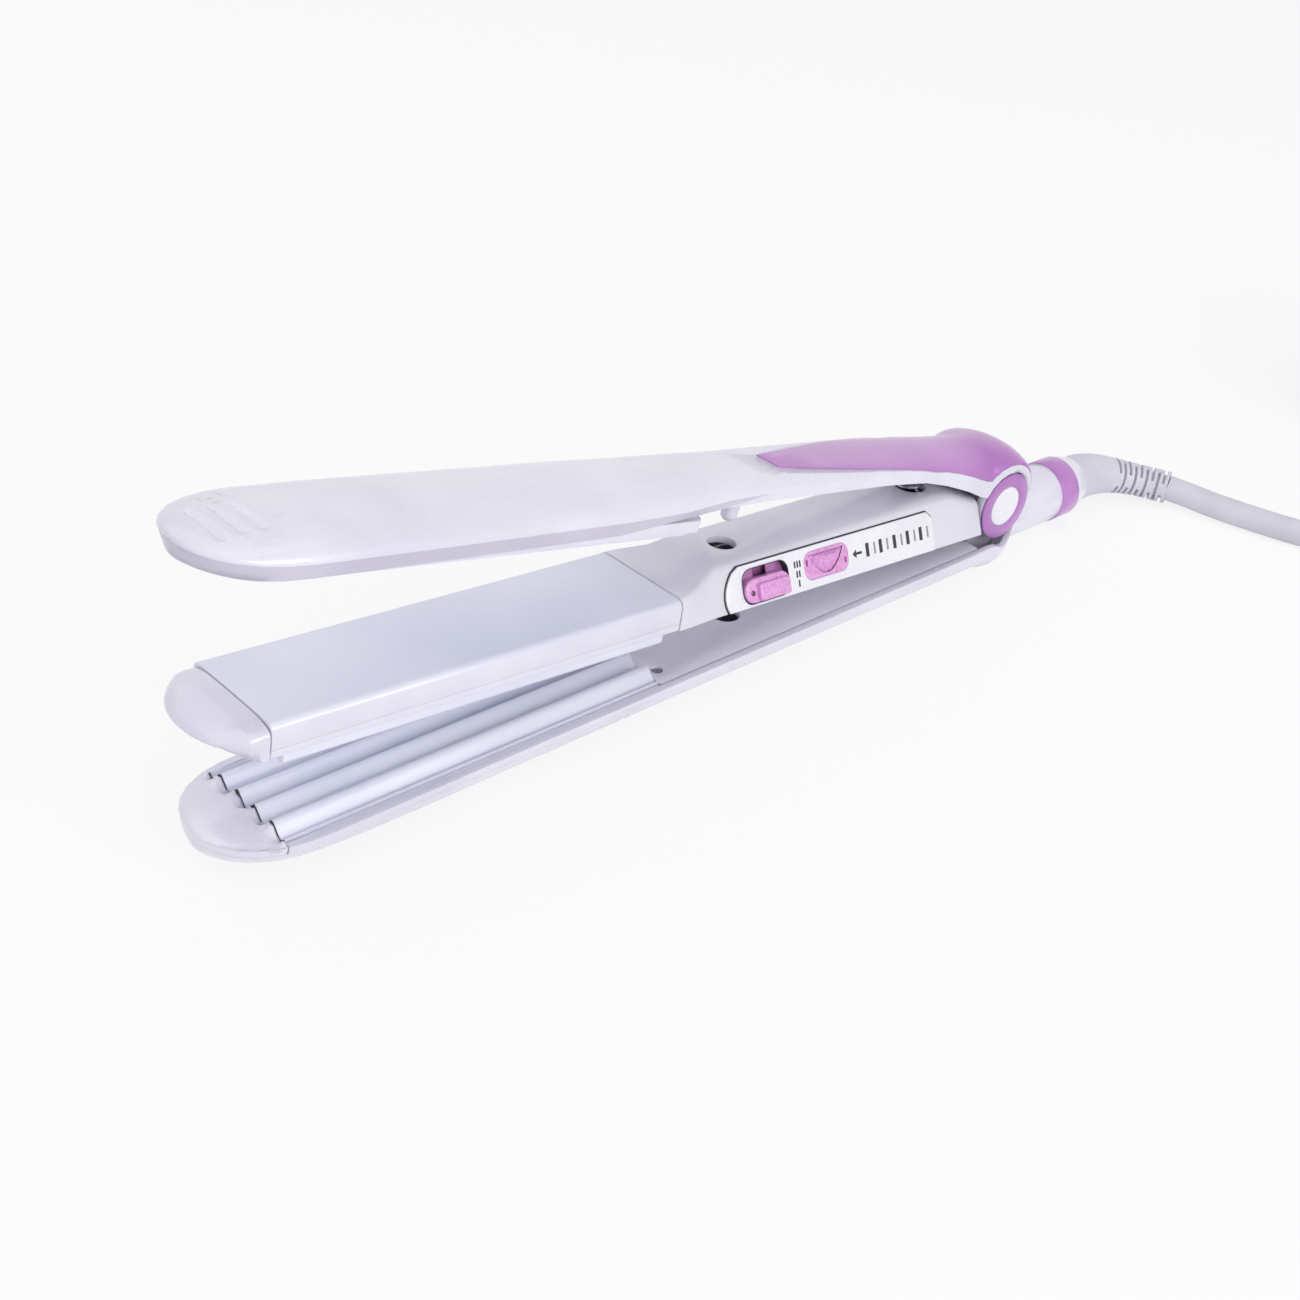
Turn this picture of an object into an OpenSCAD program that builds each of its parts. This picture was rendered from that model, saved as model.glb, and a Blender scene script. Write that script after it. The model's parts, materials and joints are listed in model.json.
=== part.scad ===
// Three-arm hair iron: a flat pair of plates between the upper and middle arms and a
// corrugated crimping pair between the middle and lower arms, all on one hinge pin.
// Each arm is drawn in its own frame: s runs from the hinge towards the tip, v towards
// the side with the controls and n upwards, with the hinge axis along v at the origin.

/* [Hinge] */
// Height of the hinge axis above the rest face
hinge_height = 17.2; // [16.8:0.1:18]
// Angle between the lower and the middle arm when open
middle_open = 4.65; // [3.5:0.05:7]
// Angle between the middle and the upper arm when open
upper_open = 7.28; // [6:0.05:10]
// Gap left between facing plates when the arms are shut
shut_gap = 0.3; // [0.2:0.05:0.4]
// Radius of the hinge pin
pin_r = 2; // [1.5:0.1:2.4]
// Radial clearance of the pin in its moving bores
pin_clearance = 0.05; // [0.02:0.01:0.1]
// Radius of the coloured hinge ring
ring_r = 8.13; // [7.6:0.05:8.4]
// Radius of the pale cap in the middle of the ring
cap_r = 4.9; // [3.5:0.1:6]

/* [Upper arm] */
// Length from the hinge axis to the tip
upper_len = 216.6; // [212:0.1:222]
// Half-width at the back, over the handle
upper_back_half = 10.8; // [10.7:0.05:11]
// Half-width at the front, over the plate
upper_front_half = 14.1; // [13.8:0.1:14.6]
// Height of the crown over the plate
upper_crown = 11.2; // [10.8:0.1:12.5]
// Outer radius of the hump over the hinge
hump_r = 13.4; // [12.8:0.1:14]
// Wall of the upper arm
upper_wall = 1.6; // [1.4:0.1:1.8]
// Front end of the coloured panel
panel_front = 77; // [70:1:84]
// Thickness of the coloured panel
panel_skin = 1.2; // [1:0.1:1.4]
// Length of the tip ahead of the flat plate
upper_tip = 15.6; // [15:0.1:17]

/* [Middle arm] */
// Length from the hinge axis to the tip
middle_len = 211.6; // [209:0.1:214]
// Half-width of the handle along its bottom edge
handle_half = 12.2; // [12:0.1:12.6]
// Half-width of the handle along its top edge, at the windows
handle_top_half = 8; // [7.6:0.1:8.2]
// Bottom of the handle below the hinge axis
handle_drop = 4.9; // [4.7:0.1:5]
// Wall of the handle
handle_wall = 1.6; // [1.4:0.1:1.8]
// Height of the flat plate's top above the hinge axis
flat_top = 1.8; // [1.6:0.1:2]
// Half-width of the middle flat plate over its rounded edges
flat_half = 12.6; // [12.4:0.1:12.8]
// Length of the tip ahead of the flat plate
middle_tip = 10.4; // [10:0.1:12]

/* [Lower arm] */
// Length from the hinge axis to the tip
lower_len = 209.7; // [207:0.1:212]
// Half-width of the lower arm
lower_half = 14.5; // [14.2:0.1:15]
// Height of the lower arm's rim above the rest face
rim_height = 9.8; // [9.6:0.1:10]
// Wall of the lower arm
lower_wall = 1.6; // [1.4:0.1:1.8]
// Radius of the neck behind the hinge
neck_r = 7.4; // [7:0.1:7.7]
// Length of the tip ahead of the crimping plate
lower_tip = 11.2; // [11:0.1:13]

/* [Plates] */
// Back end of the plates
plate_back = 110.5; // [109.5:0.1:112]
// Pitch of the crimping flutes
flute_pitch = 5.6; // [5:0.1:6]
// Depth of the crimping flutes
flute_depth = 2.8; // [2.2:0.1:3]
// Half-width of the crimping plates
crimp_half = 12.2; // [11.6:0.1:12.4]

/* [Controls] */
// Middle of the power switch along the handle
switch_s = 80.8; // [80:0.1:81.5]
// Width of the power switch's knob
switch_w = 13.2; // [12:0.1:13.8]
// Height of the power switch's knob
switch_h = 5.2; // [4.6:0.1:5.2]
// Travel of the power switch between its end positions
switch_travel = 2; // [1.6:0.1:2.2]
// Middle of the temperature wheel along the handle
wheel_s = 62; // [61:0.1:63]
// Radius of the temperature wheel
wheel_r = 8.6; // [8.2:0.1:8.6]
// Thickness of the temperature wheel
wheel_t = 4.2; // [3.6:0.1:4.3]

/* [Guides and springs] */
// Radius of the round hole that a guide peg enters
guide_hole_r = 3.2; // [3:0.05:3.6]
// Radius of a guide peg at its root
peg_r = 2; // [1.6:0.05:2.4]
// Place of the upper arm's guide peg along the arm
upper_peg_s = 84.4; // [83:0.1:86]
// Place of the middle arm's guide peg along the arm
middle_peg_s = 80; // [79:0.1:82]
// Place of the return springs along the arms
spring_s = 24; // [23:0.1:26]
// Outer radius of the return springs
spring_r = 3; // [2.4:0.1:3.4]

/* [Cord] */
// Diameter of the cord
cord_d = 6.4; // [6:0.1:7]
// Number of turns side by side in the coil
coil_turns = 2; // [2:1:3]
// Number of layers in the coil
coil_layers = 4; // [3:1:4]

/* [Hidden] */
$fn = 48;

// A small gap between pieces that are fixed to each other
seat = 0.05;
// Overshoot of a cutter past the face that it opens
over = 1;
// Radial clearance of the hinge parts that turn past each other
turn_gap = 0.35;

// ---- Frames -------------------------------------------------------------------------

upper_angle = middle_open + upper_open;

// Places children drawn in an arm's own frame
module arm(angle) {
  translate([0, 0, hinge_height]) rotate([0, angle, 0]) rotate([0, 0, 180]) children();
}

// Both ends of a part that is the same on either side of the middle plane
module both_sides() {
  children();
  mirror([0, 1, 0]) children();
}

// A disc or ring across the arm, between two distances from the middle plane
module across(r, v0, v1) {
  translate([0, v0, 0]) rotate([-90, 0, 0]) cylinder(r = r, h = v1 - v0);
}

// A bar along s with the outline children() drawn in v and n
module along(s0, s1) {
  translate([s0, 0, 0]) rotate([90, 0, 90]) linear_extrude(s1 - s0) children();
}

// A bar up n with the outline children() drawn in s and v
module upright(n0, n1) {
  translate([0, 0, n0]) linear_extrude(n1 - n0) children();
}

// ---- Curves -------------------------------------------------------------------------

function ease(t) = let (c = min(max(t, 0), 1)) c * c * (3 - 2 * c);
function turn(s, s0, s1, a, b) = a + (b - a) * ease((s - s0) / (s1 - s0));
function power(c, e) = sign(c) * pow(abs(c), e);

// Share of the full width left at s on a tip that is rounded from start to end
function tip_share(s, start, end, bluntness) =
  s <= start ? 1 : pow(max(1 - pow((s - start) / (end - start), bluntness), 0), 1 / bluntness);

// Places along a rounded tip, closer together towards its end
function tip_places(start, end) = [for (a = [15, 30, 44, 57, 68, 77, 84, 88.4]) start + (end - start) * sin(a)];

function backwards(list) = [for (i = [len(list) - 1:-1:0]) list[i]];

// A skin through rings of points, each ring with the same even number of points; seen from
// the first ring towards the last, the points of a ring run clockwise. An end is closed by
// strips between the first half of its ring and the second, or by a fan from one point.
module loft(rings, fan = -1) {
  count = len(rings[0]);
  half = count / 2;
  last = (len(rings) - 1) * count;
  sides = [
    for (r = [0:len(rings) - 2], i = [0:count - 1])
      let (a = r * count + i, b = r * count + (i + 1) % count)
        each [[a, b, b + count], [a, b + count, a + count]]
  ];
  strips = [
    for (i = [0:half - 2])
      let (far = count - 1 - i) i < half / 2 - 1 ? [i + 1, far - 1, far, i] : [i, i + 1, far - 1, far]
  ];
  end = fan < 0 ? strips : [[for (i = [0:count - 1]) (fan + i) % count]];
  polyhedron(
    points = [for (ring = rings) each ring],
    faces = concat([for (face = end) backwards(face)], sides, [for (face = end) [for (i = face) i + last]]),
    convexity = 8
  );
}

// Outline in s and v of a bar whose ends are rounded to corner radius r
module rounded_plan(s0, s1, half, r) {
  hull() for (s = [s0 + r, s1 - r], v = [r - half, half - r]) translate([s, v]) circle(r, $fn = 32);
}

// ---- Ends of the plates and tips ----------------------------------------------------

// Front ends of the middle and the upper flat plate
plate_end = middle_len - middle_tip;
upper_plate_front = upper_len - upper_tip;
// The two crimping plates end together, behind both arms' tips
plate_front = min(lower_len - lower_tip, plate_end - 2.7);
// Where each tip's outline starts to round in plan
lower_round = lower_len - 19.7;
middle_round = middle_len - 12.6;
upper_round = upper_len - 18.6;
// Where the lower arm's keel starts to rise, and the upper arm's crown to fall
keel_rise = lower_len - 37.7;
crown_fall = upper_len - 32.6;

// ---- Crimping surface ---------------------------------------------------------------

// Mean height of the crimping surface, from the hinge axis
flute_mean = -6.3;
// A triangle wave with rounded peaks, between -1 and 1
function flute_wave(v) = asin(0.94 * sin(360 * abs(v) / flute_pitch - 90)) / asin(0.94);
function flute(v) = flute_mean + flute_depth / 2 * flute_wave(v);
flute_steps = 36;
flute_places = [for (i = [0:flute_steps]) crimp_half * (2 * i / flute_steps - 1)];

// Height of the folded surface between the two tip caps, which fades from flutes to a dome
function fold(s, v, half) =
  let (
    fade = 1 - ease((s - plate_front) / 8),
    edge = ease((half - abs(v)) / 2.2),
    dome = 1.9 * (1 - pow(min(abs(v) / half, 1), 2)) * tip_share(s, plate_front, lower_len, 2),
    rim = rim_height - hinge_height
  )
    rim + edge * (dome + fade * (flute(v) - rim - dome));

// ---- Lower arm ----------------------------------------------------------------------

lower_depth = 10.6;
tip_depth = 2.6;
neck_n = 7.7 - hinge_height;
neck_s = -14;
neck_end = -29.5;
cap_seat = 8 - hinge_height;
cavity_back = -8.5;

function lower_half_at(s) =
  s > 5 ? turn(s, 110, 170, lower_half - 0.1, lower_half + 0.4) * tip_share(s, lower_round, lower_len, 2.3)
  : turn(s, neck_s, 5, neck_r, lower_half - 0.1);
function lower_depth_at(s) =
  s > 5 ? tip_depth + (lower_depth - tip_depth) * tip_share(s, keel_rise, lower_len, 2.1)
  : turn(s, neck_s, 5, neck_r, lower_depth);
function lower_rim_at(s) =
  let (
    rim = rim_height - hinge_height,
    scallop = ring_r + 1,
    dip = abs(s) < scallop ? -sqrt(scallop * scallop - s * s) : 0
  )
    s < cavity_back ? turn(s, neck_s, cavity_back, neck_n, rim) : min(rim, dip);
function lower_bluntness(s) = turn(s, neck_s, 5, 2, 1.8);

// A point of the lower arm's outer curve, with t from 0 at one rim to 180 at the other
function lower_point(s, t, inset) =
  let (e = 2 / lower_bluntness(s), half = lower_half_at(s))
    [
      s,
      (half - min(inset, 0.4 * half)) * power(cos(t), e),
      max(lower_rim_at(s) - (lower_depth_at(s) - inset) * power(sin(t), e), inset - hinge_height)
    ];
// The bulge closes the top of the neck where the cavity ends
function lower_bulge(s) = 1 - ease((s - neck_s) / (cavity_back - neck_s));
function lower_inner(s, j, count) =
  let (
    b = lower_bulge(s),
    t = 180 * (1 - (j + b / 2) / (count + b)),
    inset = lower_wall * (1 - b),
    p = lower_point(s, t, inset)
  )
    b > 0 ? [s, p[1], lower_rim_at(s) + (lower_rim_at(s) - p[2]) * (2 * b - 1)] : p;

lower_round_places = concat([lower_round], tip_places(lower_round, lower_len));
lower_places = concat(
  [neck_end, -22, neck_s, -12.5, -11, -9.8, cavity_back, -7, -5, -3, -1, 1, 3, 5, 7, 9.2, 14],
  [for (s = [30, 70, 110, 140, 165, 180]) if (s < min(lower_round, plate_front) - 2) s],
  [for (s = lower_round_places) if (s < plate_front) s]
);

// Angle on the outer curve at which it crosses the seat of the tip cap
function cap_angle(s) = asin(pow((lower_rim_at(s) - cap_seat) / lower_depth_at(s), lower_bluntness(s) / 2));
step = 0.02;
lower_tip_places = concat([plate_front + step], [for (s = lower_round_places) if (s > plate_front + step) s]);

module lower_shell() {
  arc = 16;
  body_rings = [
    for (s = concat(lower_places, [plate_front]))
      concat(
        [for (i = [0:arc]) lower_point(s, 180 * i / arc, 0)],
        [for (j = [0:arc]) lower_inner(s, j, arc)]
      )
  ];
  tip_rings = [
    for (s = lower_tip_places)
      let (a = cap_angle(s), far = ease((s - plate_front) / 7))
        concat(
          [for (i = [0:arc]) lower_point(s, a + (180 - 2 * a) * i / arc, 0)],
          [
            for (j = [0:arc])
              let (t = 168 - 156 * j / arc, p = lower_point(s, t, lower_wall))
                [s, p[1] * 0.97, min(p[2] + (cap_seat - p[2]) * far, cap_seat)]
          ]
        )
  ];
  color("#e6e6f2") loft(concat(body_rings, tip_rings));
}

cover_top = rim_height - 0.2 - hinge_height;
cover_t = 1.4;
cover_half = lower_half - lower_wall - 0.55;
cover_back = 9.6;
cover_front = plate_back - 0.4;
cover_screw = [cover_front - 2.9, 8];
screw_head_r = 1.2;
screw_r = 0.6;

module cover_hole(place, r) {
  translate([place[0], place[1], cover_top - cover_t - over]) cylinder(r = r, h = cover_t + 2 * over);
}

module lower_cover() {
  color("#c9c9d6")
    difference() {
      upright(cover_top - cover_t, cover_top) rounded_plan(cover_back, cover_front, cover_half, 0.6);
      cover_hole([middle_peg_s, 0], guide_hole_r);
      cover_hole([spring_s, 0], spring_r + 0.8);
      cover_hole(cover_screw, screw_r + 0.1);
      translate([cover_screw[0], cover_screw[1], cover_top - 0.9])
        cylinder(r = screw_head_r + 0.1, h = over + 0.9);
    }
}

module lower_tip_cap() {
  steps = 26;
  places = concat([plate_front + 0.3], [for (s = lower_tip_places) if (s > plate_front + 0.4) s]);
  rings = [
    for (s = places)
      let (a = cap_angle(s), half = lower_half_at(s), low = lower_point(s, a, 0))
        concat(
          [for (j = [0:steps]) [s, -low[1] * cos(180 * j / steps), cap_seat + seat]],
          [for (j = [0:steps]) let (v = half * cos(180 * j / steps)) [s, v, fold(s, v, half)]]
        )
  ];
  color("#e9e9f4") loft(backwards(rings));
}

module lower_crimp_plate() {
  floor = cap_seat + 0.1;
  color("#ccd3ea")
    along(plate_back, plate_front)
      polygon(concat(
        [[0.9 - crimp_half, floor], [-crimp_half, floor + 1.3]],
        [for (v = flute_places) [v, flute(v)]],
        [[crimp_half, floor + 1.3], [crimp_half - 0.9, floor]]
      ));
}

tray_half = 9.6;
tray_top = cap_seat;
tray_bottom = tray_top - 2.2;
tray_front = plate_front - 4;
heater_half = 7;
heater_t = 1.5;
// Distance of the heaters from the ends of the crimping plates
heater_margin = 9;
heater_back = plate_back + heater_margin;
heater_front = plate_front - heater_margin;
middle_heater_front = plate_end - heater_margin - 2.7;
upper_heater_front = upper_plate_front - heater_margin - 2.5;

module lower_plate_tray() {
  rib_v = [2.2, 3.4];
  rib_front = tray_front - 20;
  floor = lower_wall - hinge_height;
  color("#d8d8e0") {
    difference() {
      translate([plate_back, -tray_half, tray_bottom])
        cube([tray_front - plate_back, 2 * tray_half, tray_top - tray_bottom]);
      translate([heater_back - 0.5, -heater_half - 0.3, tray_top - heater_t - 0.2])
        cube([heater_front - heater_back + 1, 2 * heater_half + 0.6, heater_t + over]);
    }
    both_sides()
      translate([plate_back, rib_v[0], floor + seat])
        cube([rib_front - plate_back, rib_v[1] - rib_v[0], tray_bottom - floor - seat]);
  }
}

module lower_heater() {
  color("#f2efe6")
    translate([heater_back, -heater_half, tray_top - heater_t])
      cube([heater_front - heater_back, 2 * heater_half, heater_t]);
}

module lower_screws() {
  color("#8f9096") {
    translate([cover_screw[0], cover_screw[1], cover_top - 0.9]) cylinder(r = screw_head_r, h = 0.55);
    translate([cover_screw[0], cover_screw[1], cover_top - cover_t - 1.6]) cylinder(r = screw_r, h = 2.2);
  }
}

// ---- Hinge --------------------------------------------------------------------------

barrel_half = 4.4;
barrel_r = 5.2;
lug_inner = 4.7;
lug_outer = 7.9;
lug_r = 6.4;
cheek_inner = 8.2;
cheek_outer = 10.25;
ring_face = 10.95;
ring_t = 0.7;
pin_end = 10.1;

module hinge_bracket() {
  base_top = -lug_r - 0.4;
  base_low = -13.6;
  foot_low = lower_wall - hinge_height + 0.3;
  foot_half = 5;
  web = 5.8;
  color("#b9bac2")
    difference() {
      union() {
        both_sides() across(lug_r, lug_inner, lug_outer);
        both_sides()
          translate([-web, lug_inner, base_top - 1])
            cube([2 * web, lug_outer - lug_inner, 1 - base_top]);
        translate([-2, -lug_outer, base_low]) cube([10.5, 2 * lug_outer, base_top - base_low]);
        translate([0, -foot_half, foot_low]) cube([8, 2 * foot_half, base_low - foot_low + over]);
      }
      both_sides() across(pin_r + seat / 5, lug_inner - over, lug_outer + over);
    }
}

module hinge_pin() {
  color("#a9abb3") across(pin_r, -pin_end, pin_end);
}

module neck_ring() {
  color("#c49ad8")
    translate([29.5, 0, neck_n + hinge_height]) rotate([0, 90, 0]) cylinder(r = neck_r + 0.2, h = 6.5);
}

collar_s0 = 36;
collar_s1 = 41;

module rear_collar() {
  color("#ececf4")
    translate([collar_s0, 0, neck_n + hinge_height])
      rotate([0, 90, 0])
        rotate_extrude() polygon([[0, 0], [7.2, 0], [7.2, 1.2], [6.9, 2.6], [6.2, 5], [0, 5]]);
}

module middle_hinge_block() {
  web_top = 0.8;
  low = base_t + seat - handle_drop;
  block_end = 17;
  color("#d8d8e2")
    difference() {
      union() {
        across(barrel_r, -barrel_half, barrel_half);
        translate([0, -barrel_half, low]) cube([block_end, 2 * barrel_half, web_top - low]);
        translate([ring_r + 1.4, 1 - handle_top_half, low])
          cube([block_end - ring_r - 1.4, 2 * handle_top_half - 2, -low]);
      }
      across(pin_r + pin_clearance, -barrel_half - over, barrel_half + over);
    }
}

module upper_hinge_cheeks() {
  // The cheeks hang from the shell by webs that pass over the bracket's lugs
  web_inner = 5;
  web_low = lug_r + 0.4;
  color("#e6e6f2")
    difference() {
      union() {
        both_sides() across(ring_r - 0.05, cheek_inner, cheek_outer);
        both_sides()
          translate([0, web_inner, web_low])
            cube([4, cheek_inner + seat - web_inner, arch_r - 2 * seat - web_low]);
      }
      both_sides() across(pin_r + pin_clearance, cheek_inner - over, cheek_outer + over);
    }
}

module hinge_rings() {
  color("#c08fd2")
    both_sides()
      difference() {
        across(ring_r, cheek_outer + seat, ring_face);
        across(cap_r + seat, cheek_outer - over, ring_face + over);
      }
}

module hinge_caps() {
  color("#f2f2fa")
    both_sides()
      translate([0, cheek_outer + seat, 0])
        rotate([-90, 0, 0])
          rotate_extrude()
            polygon([
              [0, 0], [cap_r, 0], [cap_r, ring_t - 0.1], [cap_r - 0.5, ring_t + 0.1],
              [cap_r / 2, ring_t + 0.3], [0, ring_t + 0.35]
            ]);
}

// ---- Middle arm ---------------------------------------------------------------------

handle_back = 8.9;
handle_front = plate_back - 4.1;
ramp_back = handle_front - 12.4;
lean = (handle_half - handle_top_half) / (handle_drop + 4.3);
base_t = 1.5;

function handle_top(s) =
  s > ramp_back ? turn(s, ramp_back - 8, handle_front + 2, 4.25, flat_top + 0.05)
  : s > 50 ? turn(s, 50, ramp_back - 8, 4.8, 4.25)
  : s > 20 ? turn(s, 20, 50, 5.6, 4.8)
  : turn(s, 6, 20, 2.3, 5.6);
function handle_side(s, n) =
  let (
    leaning = handle_half - (n + handle_drop) * lean,
    upright_side = flat_half + 0.1 - 0.3 * pow(max(n + 1, 0) / 3, 2),
    t = ease((s - ramp_back) / (handle_front - ramp_back))
  )
    leaning + (upright_side - leaning) * t;

// A ring of the handle at s, shrunk by inset, from the bottom edge over the top and back
function handle_half_ring(s, inset) =
  let (
    top = handle_top(s) - inset,
    low = -handle_drop,
    corner = 1.5 - inset * 0.5,
    flat = handle_side(s, top) - inset - corner * 0.8
  )
    [
      [s, handle_side(s, low) - inset, low],
      [s, handle_side(s, -3.2) - inset, -3.2],
      [s, handle_side(s, top - corner) - inset, top - corner],
      [s, handle_side(s, top - corner * 0.4) - inset - corner * 0.18, top - corner * 0.4],
      [s, flat, top]
    ];
function mirrored(ring) = [for (i = [len(ring) - 1:-1:0]) [ring[i][0], -ring[i][1], ring[i][2]]];

handle_places = [
  handle_back, 11, 13, 15, 17.5, 20, 25, 32, 41, 50, 68, ramp_back - 8,
  ramp_back, ramp_back + 3, ramp_back + 6, ramp_back + 9, handle_front
];

// The plane of the leaning side face: x along s, y up the face, z into the handle
module side_face() {
  translate([0, handle_half, -handle_drop]) rotate([90 + atan(lean), 0, 0]) children();
}

// Places on the side face, measured up it from its bottom edge
face_up = 9;
switch_low = 0.7;
switch_gap = 0.4;
recess = [switch_w + 3 * switch_gap, switch_h + switch_travel + 2 * switch_gap];
recess_mid = switch_low - switch_gap + recess[1] / 2;
recess_corner = 1;
window = [14, 6.2];
window_mid = 4.8;
panel_out = 0.5;
recess_floor = 1;

module opening_shape(size, r) {
  hull()
    for (x = [-1, 1], y = [-1, 1])
      translate([x * (size[0] / 2 - r), y * (size[1] / 2 - r)]) circle(r, $fn = 32);
}

// The two openings in the side face, for the power switch and the temperature wheel
module side_openings(depth) {
  translate([switch_s, recess_mid, -over]) linear_extrude(depth + over) opening_shape(recess, recess_corner);
  translate([wheel_s, window_mid, -over]) linear_extrude(depth + over) opening_shape(window, 2.4);
}

module middle_shell() {
  rings = [
    for (s = handle_places)
      let (outer = handle_half_ring(s, 0), inner = handle_half_ring(s, handle_wall))
        concat(outer, mirrored(outer), backwards(mirrored(inner)), backwards(inner))
  ];
  color("#c4c4d0")
    difference() {
      loft(backwards(rings));
      translate([upper_peg_s, 0, -over]) cylinder(r = guide_hole_r, h = 8);
      translate([spring_s, 0, -over]) cylinder(r = spring_r + 0.8, h = 9);
      side_face() side_openings(3);
      translate([wheel_s, wheel_v, wheel_n - wheel_t / 2 - turn_gap])
        cylinder(r = wheel_r + turn_gap, h = wheel_t + 2 * turn_gap);
    }
}

base_half = handle_half - handle_wall - base_t * lean - 0.1;

module middle_base() {
  color("#c0c0cc")
    difference() {
      upright(-handle_drop, -handle_drop + base_t)
        rounded_plan(handle_back + 0.2, handle_front - 0.2, base_half, 0.5);
      translate([middle_peg_s, 0, -handle_drop - over]) cylinder(r = peg_r + seat, h = base_t + 2 * over);
    }
}

panel_s0 = 26.3;
panel_s1 = switch_s + 11.8;

module control_panel() {
  bow = [for (i = [0:8]) [panel_s1 - 2.8 * pow((i - 2.8) / 5.5, 2), i]];
  color("#f4f4fa")
    side_face()
      translate([0, 0, -panel_out - 0.02])
        difference() {
          linear_extrude(panel_out)
            polygon(concat(
              [[panel_s0, 0]],
              bow,
              [[panel_s1 - 4.4, face_up], [panel_s0 + 1.8, face_up], [panel_s0, face_up - 1.6]]
            ));
          side_openings(3);
        }
}

// A dark floor in the recess, with a slot for the knob's stem, and the switch behind it
module switch_body() {
  stem = [4, 1.5];
  color("#3a3640") {
    side_face()
      translate([switch_s, 0, recess_floor])
        difference() {
          translate([0, recess_mid, 0]) linear_extrude(0.5) opening_shape(recess - [0.1, 0.1], recess_corner);
          translate([-stem[0] / 2, switch_low + 2.8, -over])
            cube([stem[0], stem[1] + switch_travel + 1, 2 * over]);
        }
    translate([switch_s - recess[0] / 2, 2.4, base_t + seat - handle_drop]) cube([recess[0], 4.6, 5.3]);
  }
}

// The knob stands out of the side face by this much
knob_proud = 2.2;

// The knob rests at the lower end of its travel, up the face
module power_switch() {
  color("#e29bd8")
    side_face() {
      translate([switch_s - switch_w / 2, switch_low, -knob_proud])
        cube([switch_w, switch_h, knob_proud + recess_floor - 0.1]);
      translate([switch_s - switch_w / 2 + 1.4, switch_low + switch_h - 2.2, -knob_proud - 0.7])
        cube([switch_w - 2.8, 1.2, 0.8]);
      translate([switch_s - 1.7, switch_low + 3.2, recess_floor - 0.2]) cube([3.4, 1.2, 1.3]);
    }
}

module indicator_lens() {
  color("#7a2038")
    side_face()
      translate([switch_s + switch_w / 2 - 2.2, switch_low + 1.7, -knob_proud - 0.15])
        cylinder(r = 0.6, h = 0.14);
}

// The wheel's rim stands out of the side face by this much
wheel_out = 1.3;
wheel_n = -handle_drop + window_mid * cos(atan(lean));
wheel_v = handle_half - (wheel_n + handle_drop) * lean - wheel_r + wheel_out;
wheel_hub = 2.2;

module temperature_wheel() {
  teeth = 40;
  color("#cf8fdd")
    translate([wheel_s, wheel_v, wheel_n - wheel_t / 2])
      difference() {
        linear_extrude(wheel_t)
          polygon([
            for (i = [0:2 * teeth - 1]) let (r = i % 2 == 0 ? wheel_r : wheel_r - 0.35, a = 180 * i / teeth)
              [r * cos(a), r * sin(a)]
          ]);
        translate([0, 0, -over]) cylinder(r = wheel_hub + pin_clearance, h = wheel_t + 2 * over);
      }
}

base_top = base_t - handle_drop;

// The wheel turns on a post that stands on the base
module thermostat_body() {
  color("#4a4650") {
    translate([wheel_s, wheel_v, base_top + seat]) {
      cylinder(r = wheel_hub, h = wheel_n + wheel_t / 2 + 0.5 - base_top);
      cylinder(r = 4.2, h = wheel_n - wheel_t / 2 - 0.3 - base_top);
    }
  }
}

board = [18, 14, 1.2];

module circuit_board() {
  color("#3f7a4c") {
    translate([30, -8.6, base_top + seat]) cube(board);
    for (x = [32, 37.5, 43]) translate([x, -6, base_top + board[2]]) cube([3.4, 5, 2.4]);
  }
}

// ---- Middle arm's plates ------------------------------------------------------------

plate_start = handle_front + 0.3;
skirt_drop = 4.7;

module flat_plate_outline() {
  r = 1.8;
  low = -3.2;
  wall = 1.3;
  bend = [flat_half - r, flat_top - r];
  quarter = [for (a = [0:15:90]) bend + r * [cos(a), sin(a)]];
  inner = [for (a = [90:-22.5:0]) bend + (r - wall) * [cos(a), sin(a)]];
  half = concat([[flat_half, low]], quarter);
  inner_half = concat(inner, [[flat_half - wall, low]]);
  polygon(concat(
    half,
    [for (i = [len(half) - 1:-1:0]) [-half[i][0], half[i][1]]],
    [for (i = [len(inner_half) - 1:-1:0]) [-inner_half[i][0], inner_half[i][1]]],
    inner_half
  ));
}

module middle_flat_plate() {
  color("#cdd3ea") along(plate_start, plate_end) flat_plate_outline();
}

frame_half = flat_half - 1.3 - seat;

module middle_plate_frame() {
  top = flat_top - 1.3 - seat;
  low = -3.6;
  color("#d6d6e2")
    difference() {
      union() {
        along(plate_start, plate_end)
          polygon([
            [-frame_half, low], [frame_half, low], [frame_half, top - 0.7], [frame_half - 0.7, top],
            [0.7 - frame_half, top], [-frame_half, top - 0.7]
          ]);
        both_sides()
          translate([plate_start, crimp_half + 0.1, -skirt_drop])
            cube([plate_end - plate_start, flat_half - crimp_half - 0.1, -3.25 + skirt_drop]);
        both_sides()
          translate([plate_start, frame_half - 1, low])
            cube([plate_end - plate_start, flat_half - frame_half + 1, -3.25 - low]);
      }
      translate([heater_back - 0.5, -heater_half - 0.3, -heater_t - 0.6])
        cube([middle_heater_front - heater_back + 1, 2 * heater_half + 0.6, 2 * heater_t]);
    }
}

module middle_heater() {
  color("#f2efe6")
    translate([heater_back, -heater_half, -heater_t / 2 - 0.4])
      cube([middle_heater_front - heater_back, 2 * heater_half, heater_t]);
}

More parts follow.
